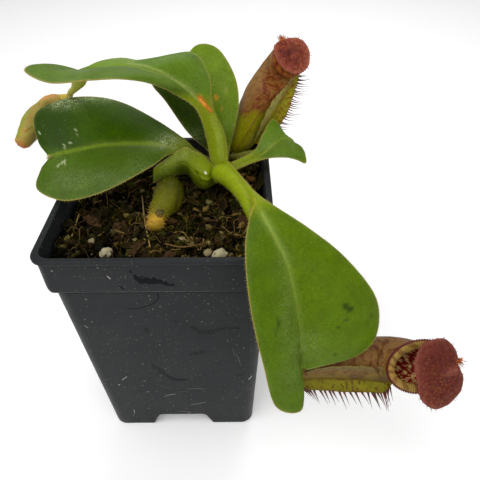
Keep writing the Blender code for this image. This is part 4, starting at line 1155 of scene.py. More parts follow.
def make_pot():
    """The pot: tapering body, collar, flat rim, four hollow feet and drain holes."""
    points, faces = capped([rounded_square(*level) for level in pot_levels()])
    collar_low = POT_HEIGHT - COLLAR_HEIGHT
    # Painted light: the body is painted 1.3 times as bright as the collar, because the two catch the light
    # differently.
    shade = 1.3 - 0.3 * smooth(points[:, 2], collar_low - 1.2, collar_low - 0.8)
    pot = make("pot_shell", points, faces, POT, np.repeat(shade[:, None], 3, axis=1), "pot")
    for way in "xy":
        ridge = channel(NOTCH_WIDTH + 2 * WALL, NOTCH_TOP_WIDTH + 2 * WALL, WALL / 2,
                        NOTCH_HEIGHT + WALL, body_half(0) - WALL / 2, way)
        cut(pot, *ridge, "UNION")
    for way in "xy":
        cut(pot, *channel(NOTCH_WIDTH, NOTCH_TOP_WIDTH, -1, NOTCH_HEIGHT, BASE_WIDTH, way), "DIFFERENCE")
    angles = np.arange(24) * math.pi / 12
    drains = [(DRAIN_OUT * math.cos(a), DRAIN_OUT * math.sin(a)) for a in np.arange(4) * math.pi / 2]
    for x, y in [(0, 0)] + drains:
        rings = [[(x + DRAIN_RADIUS * math.cos(a), y + DRAIN_RADIUS * math.sin(a), z) for a in angles]
                 for z in (5, 15)]
        cut(pot, *capped(rings), "DIFFERENCE")
    bm = bmesh.new()
    bm.from_mesh(pot.data)
    for edge in bm.edges:
        edge.smooth = len(edge.link_faces) == 2 and edge.calc_face_angle(0) < math.radians(38)
    bm.to_mesh(pot.data)
    bm.free()


def wall_point(x, y):
    """The place on the pot's front wall that falls on a pixel of the photograph's frame."""
    ray = pixel_ray(x, y)
    height = 60.0
    for _ in range(40):
        half = body_half(height) if height < POT_HEIGHT - COLLAR_HEIGHT - 0.7 else collar_half(height)
        place = np.array(CAMERA) + ray * (-half - CAMERA[1]) / ray[1]
        height = place[2]
    return place


# Marks on the pot, in pixels of the photograph's frame. The colours are 8-bit screen values.
DARK_DIRT = (13, 15, 16)
SOFT_DIRT = (36, 37, 38)
SCRATCH = (128, 128, 122)
# Colour of the painted highlight along the collar's lower edge.
COLLAR_SHINE = (78, 80, 80)

# Dark streaks: half width in millimetres and path.
POT_STREAKS = (
    (0.2, ((126, 308.7), (132, 308.9), (138.7, 308.7))),
    (0.24, ((138.7, 308.7), (147, 306), (155, 302.5), (158.6, 297.5), (157, 293.5), (152.5, 291))),
    (0.35, ((119, 286), (122, 288), (124, 289.5))),
    (0.5, ((130, 270), (131, 273))),
    (0.3, ((166, 374), (170, 378), (178, 379), (190, 380))),
)
# Pale scratches: half width, brightness and path.
POT_SCRATCHES = (
    (0.3, 1.6, ((107, 276), (110.5, 279))),
    (0.28, 1.3, ((122, 380), (127, 376.5))),
    (0.28, 1.4, ((248.5, 379.5), (252, 376))),
    (0.2, 1, ((84, 325), (88, 328))),
    (0.4, 2, ((119, 384.5), (119.6, 385))),
    (0.35, 2, ((144, 381), (144.6, 381.2))),
    (0.22, 1.1, ((134, 409), (134.5, 414))),
    (0.35, 1.6, ((125, 277.4), (125.5, 277.5))),
    (0.25, 0.9, ((165, 396), (171, 394.5), (176, 394))),
    (0.2, 0.55, ((186, 389), (196, 388.5), (204, 389))),
    (0.25, 0.7, ((190, 405), (198, 403.5), (206, 402))),
    (0.2, 0.6, ((180, 411), (192, 412))),
    (0.16, 0.45, ((236, 353), (239, 360), (241, 366))),
    (0.14, 0.4, ((232, 348), (235, 356))),
    (0.2, 0.35, ((178, 392), (190, 391))),
    (0.2, 0.3, ((160, 386), (172, 388))),
)
# Splashes of small specks: spread in pixels, number, size in millimetres, colour and path.
POT_SPLASHES = (
    (1.6, 60, 0.5, DARK_DIRT, ((134, 276), (139, 280), (146, 282))),
    (2.4, 130, 0.55, DARK_DIRT, ((140, 281), (152, 281), (160, 282))),
    (1.2, 40, 0.45, DARK_DIRT, ((160, 282), (166, 284), (173, 285.5))),
    (0.8, 14, 0.35, DARK_DIRT, ((135, 277), (142, 277))),
    (1.6, 22, 0.5, SOFT_DIRT, ((145.5, 328), (147, 332))),
    (1.4, 90, 0.5, SOFT_DIRT, ((192, 327), (200, 331), (212, 331), (224, 329))),
    (1.2, 40, 0.5, SOFT_DIRT, ((198, 333), (214, 333))),
    (1.4, 30, 0.45, SOFT_DIRT, ((222, 328), (240, 328))),
    (1.8, 34, 0.45, SOFT_DIRT, ((190, 354), (204, 352))),
    (3.0, 50, 0.5, SOFT_DIRT, ((154, 366), (164, 374))),
    (1.2, 50, 0.5, SOFT_DIRT, ((166, 375), (176, 380), (186, 380))),
    (1.2, 22, 0.45, SOFT_DIRT, ((236, 376), (243, 374))),
    (1.2, 8, 0.35, SOFT_DIRT, ((175, 321), (176, 321))),
)


def streak(path, width, colour):
    """A thin flat ridge along a path on the front wall."""
    out = np.array([0.0, -1.0, 0.0])
    side = unit(np.cross(unit(np.gradient(path, axis=0)), out))
    taper = np.sin(np.linspace(0.08, 0.92, len(path)) * math.pi) ** 0.5
    half = (width * taper * (1 + 0.5 * cloud(path, 1.2, 91)))[:, None]
    ring = [path + out * -0.05 - side * half, path + out * 0.06 - side * half * 0.8,
            path + out * 0.06 + side * half * 0.8, path + out * -0.05 + side * half]
    return *capped(np.stack(ring, axis=1)), colour


def splash(pixels, spread, count, size, colour):
    """Small flat specks of dirt round a path of pixels on the front wall."""
    specks = []
    turns = np.linspace(0, 2 * math.pi, 9)[:-1]
    for x, y in spline(pixels, rng.uniform(0, 1, count)) + rng.normal(0, 0.45 * spread, (count, 2)):
        spot = wall_point(x, y)
        reach = size * rng.uniform(0.4, 1.2) * rng.uniform(0.6, 1.3, 8)
        ring = np.stack([1.5 * reach * np.cos(turns), 0 * turns, reach * np.sin(turns)], axis=1)
        depth = rng.uniform(0.02, 0.04)
        specks.append((*capped(np.stack([spot + ring + [0, 0.1, 0], spot + ring - [0, depth, 0]])), colour))
    return specks


def make_pot_marks():
    """Thin dirt and scuffs on the front wall: dark streaks, pale scratches and splashes, with a painted
    highlight along the collar's lower edge.
    """
    lines = [(path, width, srgb(*DARK_DIRT)) for width, path in POT_STREAKS]
    lines += [(path, width, srgb(*SCRATCH) * bright) for width, bright, path in POT_SCRATCHES]
    marks = [streak(spline([wall_point(x, y) for x, y in path], np.linspace(0, 1, 30)), width, colour)
             for path, width, colour in lines]
    # A painted highlight: a pale line along the collar's lower edge.
    low = POT_HEIGHT - COLLAR_HEIGHT + 0.6
    edge = [(x, -collar_half(low) + 0.03, low) for x in (-39.5, 39.5)]
    marks.append(streak(spline(edge, np.linspace(0, 1, 60)), 0.16, srgb(*COLLAR_SHINE)))
    for spread, count, size, colour, path in POT_SPLASHES:
        marks += splash(path, spread, count, size, srgb(*colour))
    scatter("pot_marks", marks, DIRT_AND_HIGHLIGHT, flat=True)


# Soil.

def soil_point(x, y, lift):
    """The place on the soil that falls on a pixel of the photograph's frame."""
    ray = pixel_ray(x, y)
    height = SOIL_TOP + lift
    for _ in range(12):
        place = np.array(CAMERA) + ray * (height - CAMERA[2]) / ray[2]
        height = ground(place[0], place[1]) + lift
    return place


def ground(x, y):
    """Height of the soil's lumpy top, as in the part's source."""
    lumps = noise.noise(Vector((x * 0.11, y * 0.11, 3.1)))
    crumbs = noise.noise(Vector((x * 0.31, y * 0.31, 8.7)))
    front = max(0.0, -y) / 40
    return SOIL_TOP + SOIL_RELIEF * (lumps + 0.6 * crumbs) + SOIL_FRONT_RISE * front


def fine_ground(x, y):
    """The soil's top with crumbs on it."""
    crumbs = noise.noise(Vector((x * 0.8, y * 0.8, 5.1)))
    grit = noise.noise(Vector((x * 2.1, y * 2.1, 1.9)))
    return ground(x, y) + 1.9 * crumbs + 1.1 * grit


def make_soil():
    """Soil: a crumbly top over plain sides, painted dark with moss, with painted shade along the pot's wall
    and at its front left.
    """
    half = body_half(POT_HEIGHT - COLLAR_HEIGHT) - WALL - SOIL_GAP
    foot = body_half(NOTCH_HEIGHT) - WALL - SOIL_GAP
    bottom = NOTCH_HEIGHT + WALL + SOIL_GAP
    side = 150
    line = np.linspace(-1, 1, side)
    gx, gy = np.meshgrid(line, line, indexing="ij")
    corner = 1 - 0.035 * (np.abs(gx) * np.abs(gy)) ** 8
    xs = gx * half * corner
    ys = gy * half * corner
    zs = np.array([[fine_ground(x, y) for x, y in zip(rx, ry)] for rx, ry in zip(xs, ys)])
    points = np.stack([xs, ys, zs], axis=2).reshape(-1, 3)
    faces = grid_faces(side, side)
    border = [i * side for i in range(side)] + [(side - 1) * side + j for j in range(1, side)]
    border += [i * side + side - 1 for i in range(side - 2, -1, -1)] + list(range(side - 2, 0, -1))
    low = [(points[k][0] * foot / half, points[k][1] * foot / half, bottom) for k in border]
    base = len(points)
    points = np.vstack([points, low, [(0, 0, bottom)]])
    count = len(border)
    for i in range(count):
        k = (i + 1) % count
        faces.append((border[i], border[k], base + k, base + i))
        faces.append((base + i, base + k, base + count))
    tint = blend(srgb(9, 8, 3), srgb(46, 34, 14), smooth(cloud(points, 2.2, 61), -0.2, 0.5))
    green = smooth(cloud(points, 7, 62) + 0.4 * cloud(points, 1.5, 63), 0.0, 0.4)
    tint = blend(tint, srgb(48, 48, 8), green * 0.6)
    tint = tint * (0.3 + 0.8 * smooth(cloud(points, 1.6, 67), -0.3, 0.3))[:, None]
    # Painted shade: the soil darkens towards the pot's wall, and at its front left where the wall shades it.
    edge = np.maximum(np.abs(points[:, 0]), np.abs(points[:, 1]))
    tint = tint * ((1 - 0.6 * smooth(edge, half - 6, half)) * painted_soil_shade(points))[:, None]
    make("soil_bed", points, faces, SOIL, tint, "soil")


def lump(centre, size, squash, seed, subdivisions, rough):
    """Points and faces of one irregular lump."""
    bm = bmesh.new()
    bmesh.ops.create_icosphere(bm, subdivisions=subdivisions, radius=1.0)
    turn = Matrix.Rotation(rng.uniform(0, 6.28), 3, "Z") @ Matrix.Rotation(rng.normal(0, 0.35), 3, "X")
    points = []
    for vert in bm.verts:
        p = vert.co * (1 + rough * noise.noise(vert.co * 1.4 + Vector((seed, 0, 0)))
                       + 0.3 * rough * noise.noise(vert.co * 4 + Vector((0, seed, 0))))
        p = turn @ Vector((p.x * size, p.y * size * squash[0], p.z * size * squash[1]))
        points.append(np.array(centre) + np.array(p))
    faces = [[v.index for v in f.verts] for f in bm.faces]
    bm.free()
    return np.array(points), faces


def scatter(name, items, mat, flat=False):
    """Many small bodies as one mesh; each is its points, its faces and its colour or colours."""
    points = []
    faces = []
    tints = []
    start = 0
    for pts, fcs, colour in items:
        points.append(pts)
        faces += [[start + i for i in f] for f in fcs]
        tints.append(np.ones(pts.shape) * colour)
        start += len(pts)
    make(name, np.vstack(points), faces, mat, np.vstack(tints), flat=flat)


def inside_soil(x, y):
    """True where a loose piece may lie: in the pot and off the crown."""
    return max(abs(x), abs(y)) < LOOSE_REACH and math.hypot(x - CROWN[0], y - CROWN[1]) > 6


def loose_place(reach):
    """A random place where a loose piece may lie."""
    x, y = rng.uniform(-reach, reach, 2)
    while not inside_soil(x, y):
        x, y = rng.uniform(-reach, reach, 2)
    return x, y


def painted_soil_shade(points):
    """How bright the soil is at each place: painted shade darkens its front left part, where the pot's wall
    shades it.
    """
    seen = picture(points)
    return 1 - 0.62 * (1 - smooth(seen[..., 0], 108, 146)) * smooth(seen[..., 1], 206, 224)


def pick(colours):
    """One of several colours by chance."""
    return srgb(*colours[rng.integers(len(colours))])


CHIPS = 700
CHIP_COLOURS = ((64, 44, 18), (40, 30, 12), (104, 84, 38), (66, 66, 10), (122, 106, 58), (48, 46, 10))
FIBRES = 320
FIBRE_COLOURS = ((128, 104, 60), (60, 44, 24), (36, 26, 14), (84, 62, 30))
MOSS_HAIRS = 9000
MOSS_COLOURS = ((74, 70, 10), (46, 48, 8), (110, 94, 26))

# Large curled flakes of bark, in pixels of the photograph's frame: path, half width and colour.
FLAKES = (
    (((185, 182), (192, 186), (196, 197)), 2.6, (50, 36, 24)),
    (((206, 188), (212, 194), (212, 204)), 2.2, (46, 32, 20)),
    (((183, 198), (190, 204), (199, 206)), 1.7, (60, 44, 26)),
    (((216, 198), (222, 206), (222, 214)), 2.0, (42, 30, 18)),
    (((197, 180), (205, 186), (214, 187)), 1.8, (64, 48, 30)),
    (((62, 222), (70, 228), (80, 226)), 2.0, (58, 42, 26)),
    (((86, 240), (95, 246), (104, 243)), 2.2, (52, 36, 20)),
    (((262, 172), (262, 182), (258, 190)), 1.6, (64, 48, 28)),
    (((120, 246), (130, 250), (140, 247)), 1.8, (56, 40, 22)),
    (((92, 212), (98, 219), (96, 228)), 1.8, (52, 38, 22)),
)
# Long straws: path, radius and colour.
STRAWS = (
    (((142, 196), (145, 222), (150, 247)), 0.3, (150, 122, 72)),
    (((79, 214), (76, 224), (72, 236)), 0.3, (160, 132, 80)),
    (((165, 244), (182, 247), (202, 244)), 0.28, (120, 92, 52)),
    (((98, 236), (110, 230), (124, 233)), 0.25, (130, 104, 60)),
    (((222, 226), (232, 234), (240, 236)), 0.25, (120, 92, 56)),
)
# Single lumps: place, size and colour.
CRUMBS = (
    (209, 203, 1.9, (112, 108, 60)),
    (250, 179, 2.0, (124, 84, 42)),
    (256, 166, 1.5, (96, 84, 50)),
    (68, 238, 1.5, (96, 90, 40)),
)
CURL_STEPS = 24           # rings along a flake or straw


def make_stones():
    """Pale stones in the soil; the first two are the palest."""
    for number, (x, y, size) in enumerate(STONES, 1):
        pts, fcs = lump((x, y, ground(x, y) + 0.45 * size), size, (0.85, 0.75), number * 3.7, 4, 0.22)
        pale = srgb(172, 162, 126) if number <= 2 else srgb(134, 120, 84)
        tint = np.ones(pts.shape) * pale * (1 + 0.2 * cloud(pts, 0.9, number))[:, None]
        make(f"pebble_{number}", pts, fcs, STONE, tint, f"stone_{number}")


def make_bark():
    """Bark pieces in the soil."""
    for number, (x, y, size) in enumerate(BARKS, 1):
        pts, fcs = lump((x, y, ground(x, y) + 0.3 * size), size, (0.55, 0.35), number * 5.1, 4, 0.75)
        tint = np.ones(pts.shape) * srgb(66, 46, 26) * (1 + 0.6 * cloud(pts, 0.8, number))[:, None]
        make(f"bark_chip_{number}", pts, fcs, BARK, tint, f"bark_{number}")


def make_chips():
    """Small chips all over the soil."""
    chips = []
    for _ in range(CHIPS):
        x, y = loose_place(39)
        size = rng.uniform(0.5, 1.0) ** 2 * 2.3
        shade = rng.uniform(0.1, 1.4)
        colour = pick(CHIP_COLOURS) * shade
        squash = (rng.uniform(0.3, 0.8), rng.uniform(0.3, 0.7))
        pts, fcs = lump((x, y, fine_ground(x, y) + 0.3 * size), size, squash, rng.uniform(0, 90), 2, 0.9)
        # Painted shade from the pot's wall darkens the chips at the front left.
        chips.append((pts, fcs, colour * painted_soil_shade(np.array([x, y, SOIL_TOP]))))
    scatter("soil_chips", chips, BARK)


def make_fibres():
    """Thin bent roots and fibres lying on the soil."""
    fibres = []
    for _ in range(FIBRES):
        x, y = loose_place(38)
        turn = rng.uniform(0, 2 * math.pi)
        length = rng.uniform(3, 14)
        bend = rng.normal(0, 0.5)
        path = []
        for f in np.linspace(0, 1, 8):
            a = turn + bend * f
            px, py = x + length * f * math.cos(a), y + length * f * math.sin(a)
            px, py = np.clip((px, py), -39, 39)
            arch = 1.2 * math.sin(f * math.pi) * rng.uniform(0.3, 1)
            path.append((px, py, fine_ground(px, py) + 0.5 + arch))
        line = spline(path, np.linspace(0, 1, 18))
        pts, fcs = capped(tube_rings(line, np.full(18, rng.uniform(0.1, 0.28)), 5)[0])
        colour = pick(FIBRE_COLOURS) * rng.uniform(0.4, 1.3)
        # Painted shade from the pot's wall darkens the fibres at the front left.
        fibres.append((pts, fcs, colour * painted_soil_shade(line[9])))
    scatter("soil_fibres", fibres, BARK)


def flake(pixels, width, colour):
    """One curled flake of bark with a paler margin, partly its own colour and partly a painted highlight on
    the curled edge.
    """
    line = spline([soil_point(x, y, 0.8) for x, y in pixels], np.linspace(0, 1, CURL_STEPS))
    line[:, 2] += 1.2 * np.sin(np.linspace(0, 1, CURL_STEPS) * math.pi)
    ahead = unit(np.gradient(line, axis=0))
    side = unit(np.cross(ahead, (0, 0, 1)))
    above = np.cross(side, ahead)
    taper = np.sin(np.linspace(0.04, 0.96, CURL_STEPS) * math.pi) ** 0.8
    spread = width * taper * (1 + 0.7 * cloud(line, 1.1, 65))
    across = np.linspace(-1, 1, 9)
    section = [(u, 0.12) for u in across] + [(u, -0.12) for u in across[::-1]]
    ring = np.stack([line + side * (u * spread)[:, None] + above * (t + 0.8 * u * u * spread)[:, None]
                     for u, t in section], axis=1)
    # The paler margin: partly its own colour, partly a painted highlight on the curled edge.
    margin = smooth([abs(u) for u, _ in section], 0.8, 1.0)
    tint = np.repeat(margin[None], CURL_STEPS, axis=0)[..., None] * srgb(112, 90, 40) * 0.35
    tint = tint + srgb(*colour) * (0.62, 0.8, 0.35) * (1 + 0.7 * cloud(ring, 0.8, 66))[..., None]
    # Painted shade from the pot's wall darkens the flakes at the front left.
    return *capped(ring), cap_tint(tint * painted_soil_shade(ring)[..., None])


def straw(pixels, radius, colour):
    """One long straw lying on the soil."""
    line = spline([soil_point(x, y, 1.3) for x, y in pixels], np.linspace(0, 1, CURL_STEPS))
    return *capped(tube_rings(line, np.full(CURL_STEPS, radius), 6)[0]), srgb(*colour)


def make_flakes():
    """The larger loose pieces that the photograph shows: flakes, straws and crumbs."""
    pieces = [flake(*row) for row in FLAKES] + [straw(*row) for row in STRAWS]
    for x, y, size, colour in CRUMBS:
        pieces.append((*lump(soil_point(x, y, 0.5), size, (0.8, 0.7), x * 0.1, 3, 0.6), srgb(*colour)))
    scatter("soil_flakes", pieces, BARK)


def make_moss():
    """Tufts of moss in patches on the soil."""
    roots = []
    ways = []
    lengths = []
    tints = []
    while len(roots) < MOSS_HAIRS:
        x, y = rng.uniform(-39, 39, 2)
        patch = noise.noise(Vector((x / 7, y / 7, 4.4))) + 0.3 * noise.noise(Vector((x / 2, y / 2, 1.0)))
        if patch < -0.02 or not inside_soil(x, y):
            continue
        roots.append((x, y, fine_ground(x, y) - 0.1))
        ways.append((rng.normal(0, 0.6), rng.normal(0, 0.6), 1))
        lengths.append(rng.uniform(0.6, 2.0))
        tints.append(pick(MOSS_COLOURS) * rng.uniform(0.3, 1.6))
    # Painted shade from the pot's wall darkens the moss at the front left.
    tints = np.array(tints) * painted_soil_shade(np.array(roots))[:, None]
    hairs("moss_tufts", roots, ways, lengths, 0.22, tints, MOSS)


# The plant.

# Marks on the leaves, in pixels of the photograph's frame: place, size, colour and amount.
FRONT_MARKS = (
    (345, 306, 4.6, (40, 58, 8), 0.9),
    (350, 309, 4.0, (40, 58, 8), 0.85),
    (372, 314, 2.0, (74, 70, 20), 0.7),
    (335, 355, 2.2, (52, 58, 14), 0.7),
    (275, 330, 3.5, (60, 92, 10), 0.5),
    (374, 337, 1.6, (80, 70, 20), 0.6),
)
BACK_MARKS = (
    (216, 98, 3.2, (196, 140, 30), 0.85),
    (222, 109, 2.4, (170, 136, 36), 0.7),
    (212, 116, 4.5, (130, 128, 44), 0.5),
    (226, 90, 3.0, (150, 150, 60), 0.4),
)
# Patches of pale hair, which on the front, left and high leaves also stand for painted sheen: place, width,
# height and amount.
FRONT_HAIR_AND_SHEEN = ((283, 262, 10, 16, 0.1), (286, 315, 7, 40, 0.16), (308, 346, 16, 14, 0.2),
               (288, 380, 12, 18, 0.14), (268, 225, 10, 8, 0.06))
LEFT_HAIR_AND_SHEEN = ((62, 102, 18, 7, 1.1), (95, 99, 22, 4, 0.7), (166, 141, 14, 8, 1.1), (70, 182, 20, 10, 0.25),
              (110, 178, 24, 8, 0.2), (140, 165, 14, 8, 0.2), (60, 160, 10, 12, 0.12))
TOP_HAIR_AND_SHEEN = ((60, 76, 30, 8, 0.08), (165, 85, 18, 8, 0.14), (200, 80, 8, 16, 0.12))
BACK_FROST = ((222, 80, 14, 20, 0.16), (228, 120, 8, 20, 0.16), (196, 138, 9, 8, 0.5), (218, 60, 14, 8, 0.1))
RIGHT_FROST = ((268, 146, 8, 5, 0.25), (285, 138, 10, 10, 0.12))
LOW_FROST = ((165, 160, 12, 10, 0.4), (180, 154, 12, 6, 0.3))

# Lines on the leaves, as paths or as pairs of ends.
LOW_FOLD = ((196, 171), (201, 180), (208, 182), (214, 177))
LOW_DOT = ((205.2, 172.2), (205.8, 173.2))
LEFT_RIB = ((49, 157), (57, 154), (66, 151.5), (85, 148), (105, 144.5), (125, 143.5), (145, 143), (160, 144))
LEFT_SCARS = (
    ((74, 127.5), (75.4, 130.5)), ((75.8, 133), (76.4, 134.5)), ((63.4, 144), (64.8, 148)),
    ((68, 142.4), (70.8, 142.9)), ((57, 166.5), (61.5, 163)), ((61.5, 163), (65.4, 160.5)),
    ((64.4, 161), (65, 164.5)), ((38.5, 131.5), (40, 134)),
)
FRONT_CREASE = ((255, 198), (255.5, 204), (252.5, 209), (250.5, 215))
FRONT_SCRATCHES = (
    ((337, 328), (342, 327)), ((343, 321), (346, 320.5)), ((277, 318), (279, 328)),
    ((276, 333), (274, 338)), ((277, 326), (281, 322)),
)
TOP_RIB = ((128, 63), (146, 66), (160, 71), (172, 78), (183, 86), (192, 94), (199, 101))
TOP_SCARS = (
    ((199, 96.5), (211, 111), 3.6, (150, 130, 40)),
    ((200, 98), (206, 106), 3.2, (214, 128, 30)),
    ((206, 106), (211, 111), 1.8, (206, 128, 34)),
    ((201, 100), (205, 105), 1.6, (250, 170, 70)),
)
TOP_STALK = ((213, 118), (219, 136), (221, 156))
TOP_DOTS = ((66, 78), (72, 77.5), (193, 57), (196, 59))
# The row of short bristles down the back cup, from near its mouth to its base.
BACK_ROW = ((261, 111), (255, 119), (250, 128), (245, 137), (238, 147))
BACK_ROW_HAIRS = 34
SMALL_FRINGE_HAIRS = 260
TIP_HAIRS = 60


def low_paint(tint, seen):
    """The clasping stalk: yellow green near the crown, a fold and one white dot."""
    near = smooth(seen[..., 0], 178, 208) * smooth(seen[..., 1], 150, 168)
    tint = blend(tint, srgb(126, 142, 14), 0.75 * near)
    tint = tint * (1 + 0.3 * (1 - smooth(seen[..., 0], 170, 184)))[..., None]
    tint = strokes(tint, seen, neighbours(LOW_FOLD), (1.2, (66, 78, 4), 0.7))
    return stroke(tint, seen, LOW_DOT, 1.3, (240, 240, 225))


def left_leaf_paint(tint, seen):
    """The left leaf: dark at its far tip, with a broad pale rib and a few pale scars."""
    dark = (1 - smooth(seen[..., 0], 56, 88)) * smooth(155 - seen[..., 1], 0, 12)
    tint = blend(tint, srgb(36, 60, 0), 0.85 * dark)
    tint = strokes(tint, seen, neighbours(LEFT_RIB), (2.8, (118, 144, 26), 0.36), (1.3, (130, 154, 36), 0.3))
    return strokes(tint, seen, LEFT_SCARS, (0.8, (190, 194, 150), 0.7))


def front_leaf_paint(tint, seen):
    """The front leaf: a golden crease where the blade starts and small dark scratches."""
    tint = strokes(tint, seen, neighbours(FRONT_CREASE), (0.9, (170, 150, 60), 0.8))
    return strokes(tint, seen, FRONT_SCRATCHES, (0.8, (44, 62, 8), 0.7))


def top_leaf_paint(tint, seen):
    """The high leaf: painted light on the far lobe behind the rib, an orange scar on the stalk and a pale
    band down the stalk.
    """
    # Painted light: the far lobe, curled up face on, is painted brighter and greener than the rest of the
    # blade.
    ridge = np.interp(seen[..., 0], (60, 90, 120, 140), (67, 68, 66.5, 62))
    far = smooth(ridge - seen[..., 1], 0.0, 1.2)
    far = far * smooth(seen[..., 0], 80, 90) * (1 - smooth(seen[..., 0], 132, 142))
    tint = blend(tint, srgb(112, 142, 22), 0.8 * far)
    tint = strokes(tint, seen, neighbours(TOP_RIB), (2.4, (146, 162, 84), 0.3), (0.9, (150, 166, 80), 0.35))
    for start, end, width, colour in TOP_SCARS:
        tint = stroke(tint, seen, (start, end), width, colour, 0.9)
    # A pale band down the stalk: partly its own paler colour, partly a painted highlight.
    tint = strokes(tint, seen, neighbours(TOP_STALK), (4.5, (158, 172, 66), 0.45))
    dots = [((x, y), (x + 1.5, y - 1)) for x, y in TOP_DOTS]
    return strokes(tint, seen, dots, (0.9, (60, 70, 20), 0.6))


def make_crown():
    """The short stem in the soil where the stalks meet."""
    x, y, z = CROWN
    levels = [(98, 2.4), (102, 4.0), (z - 6, 4.0)]
    for lift in -0.55 + np.arange(25) / 24 * 1.5:
        rise = 6.5 if lift < 0 else 4.2
        levels.append((z + rise * lift, 5.0 * math.sqrt(max(0.02, 1 - lift ** 2))))
    angles = np.arange(48) * 2 * math.pi / 48
    rings = [[(x + r * math.cos(a), y + r * math.sin(a), h) for a in angles] for h, r in levels]
    pts, fcs = capped(rings)
    tint = blend(srgb(30, 24, 12), srgb(120, 136, 26), smooth(pts[:, 2], 123.5, 128))
    tint = tint * (1 + 0.15 * cloud(pts, 3, 71))[:, None]
    make("crown_stem", pts, fcs, STALK, tint, "crown")


def make_leaves():
    """The six leaves."""
    leaf("blade_front", "leaf_front", LEAF_FRONT, KEEL_FRONT,
         ((82, 108, 0), (76, 102, 0), (124, 144, 50), (130, 146, 0)), stalk=0.3, round_rows=0,
         marks=FRONT_MARKS, hair_and_sheen=FRONT_HAIR_AND_SHEEN, extra=front_leaf_paint)
    leaf("blade_left", "leaf_left", LEAF_LEFT, KEEL_LEFT,
         ((68, 94, 12), (60, 90, 0), (122, 140, 46), (106, 122, 0)), stalk=0.28, round_rows=3,
         hair_and_sheen=LEFT_HAIR_AND_SHEEN, extra=left_leaf_paint)
    leaf("blade_top", "leaf_top", LEAF_TOP, KEEL_TOP,
         ((84, 112, 22), (88, 118, 22), (150, 164, 84), (132, 146, 6)), stalk=0.3, round_rows=3,
         hair_and_sheen=TOP_HAIR_AND_SHEEN, extra=top_leaf_paint)
    # The back leaf's left half is painted dark: painted shade under the high leaf.
    leaf("blade_back", "leaf_back", LEAF_BACK, KEEL_BACK,
         ((46, 68, 0), (100, 127, 8), (124, 140, 30), (110, 130, 10)), stalk=0.22, round_rows=2,
         marks=BACK_MARKS, hair_and_sheen=BACK_FROST)
    leaf("blade_right", "leaf_right", LEAF_RIGHT, KEEL_RIGHT,
         ((86, 115, 20), (81, 107, 16), (140, 154, 54), (126, 142, 8)), stalk=0.28, round_rows=2,
         spread=2.0, hair_and_sheen=RIGHT_FROST)
    leaf("blade_low", "leaf_low", LEAF_LOW, KEEL_LOW,
         ((74, 88, 8), (112, 126, 20), (108, 122, 14), (112, 124, 10)), stalk=0.0, round_rows=7,
         hair_and_sheen=LOW_FROST, extra=low_paint)


def make_tendrils():
    """The front leaf's stalk with its down, and the three tendrils."""
    stem = tendril("stalk_front", STALK_FRONT, (2.4, 3.4, 4.1, 3.7, 3.0, 2.6, 2.4, 1.8),
                   (140, 158, 14), (126, 140, 8), sides=40, steps=90)
    down(stem)
    tendril("tendril_front", TENDRIL_FRONT, (1.3, 1.5, 1.6, 1.6), (120, 140, 50), (120, 110, 50))
    tendril("tendril_top", TENDRIL_TOP, (1.0, 2.9, 1.6, 1.3, 1.3, 1.8), (150, 164, 60), (200, 174, 76))
    tendril("tendril_right", TENDRIL_RIGHT, (0.8, 1.1, 1.2, 1.2, 1.3, 1.4, 1.4, 1.4, 1.5),
            (110, 130, 24), (112, 102, 40))


def make_front_pitcher():
    """The cup that lies on its side at the right."""
    front = Pitcher(FRONT_AXIS, FRONT_RADII, FRONT_MOUTH, FRONT_SIDES, FRONT_OVAL)
    cup("cup_front", "pitcher_front", front, front_paint)
    green = wing_paint((118, 112, 20), (80, 30, 12), 0.9, (104, 70, 22), (84, 34, 14))
    grey = wing_paint((112, 92, 50), (82, 44, 28), 0.7, (124, 128, 54))
    wing("wing_front_low", front, (0.56, 0.56), 0.12, 0.9, (5.2, 5.2), (0.44, 0.44), green,
         count=26, length=6.0, colour=(88, 38, 20), tilt=0.45, bristle=0.5, droop=(0.1, 0, -0.3))
    wing("wing_front_high", front, (-0.1, -0.1), 0.25, 0.86, (4.6, 4.6), (-1.3, -1.3), grey,
         count=34, length=1.2, colour=(130, 52, 34), bristle=0.2)
    lip("lip_front", "pitcher_front_lip", front, 2.0, 84, 17, (158, 128, 60), (88, 20, 12), (84, 14, 10))
    seat = front.spot(1.0, math.pi, 0.8, 2.9)
    lid("lid_front", "pitcher_front_lid", FRONT_HINGE, FRONT_LID, 2.0, 4.5, seat,
        ((96, 36, 30), (140, 78, 66), (132, 80, 40)), dark=0.3, count=46, length=1.6)


def back_row(back):
    """The row of short bristles down the back cup's left edge."""
    levels = np.linspace(0.05, 0.8, 90)
    turns = np.linspace(-1.2, 1.2, 60)
    seen = picture(back.spot(*np.meshgrid(levels, turns, indexing="ij"), 0.0))
    nearest = [np.argmin(np.linalg.norm(seen - place, axis=2))
               for place in spline(BACK_ROW, np.linspace(0, 1, BACK_ROW_HAIRS))]
    row, column = np.unravel_index(nearest, (90, 60))
    where = levels[row]
    angle = turns[column]
    ways = back.radial(where, angle) + np.array([-0.3, 0, -0.9])
    ways = ways + rng.normal(0, 0.3, (BACK_ROW_HAIRS, 3))
    lengths = rng.uniform(0.8, 1.9, BACK_ROW_HAIRS)
    roots = back.spot(where, angle, 0.0)
    hairs("cup_back_bristles", roots, ways, lengths, 0.13, srgb(128, 50, 20))


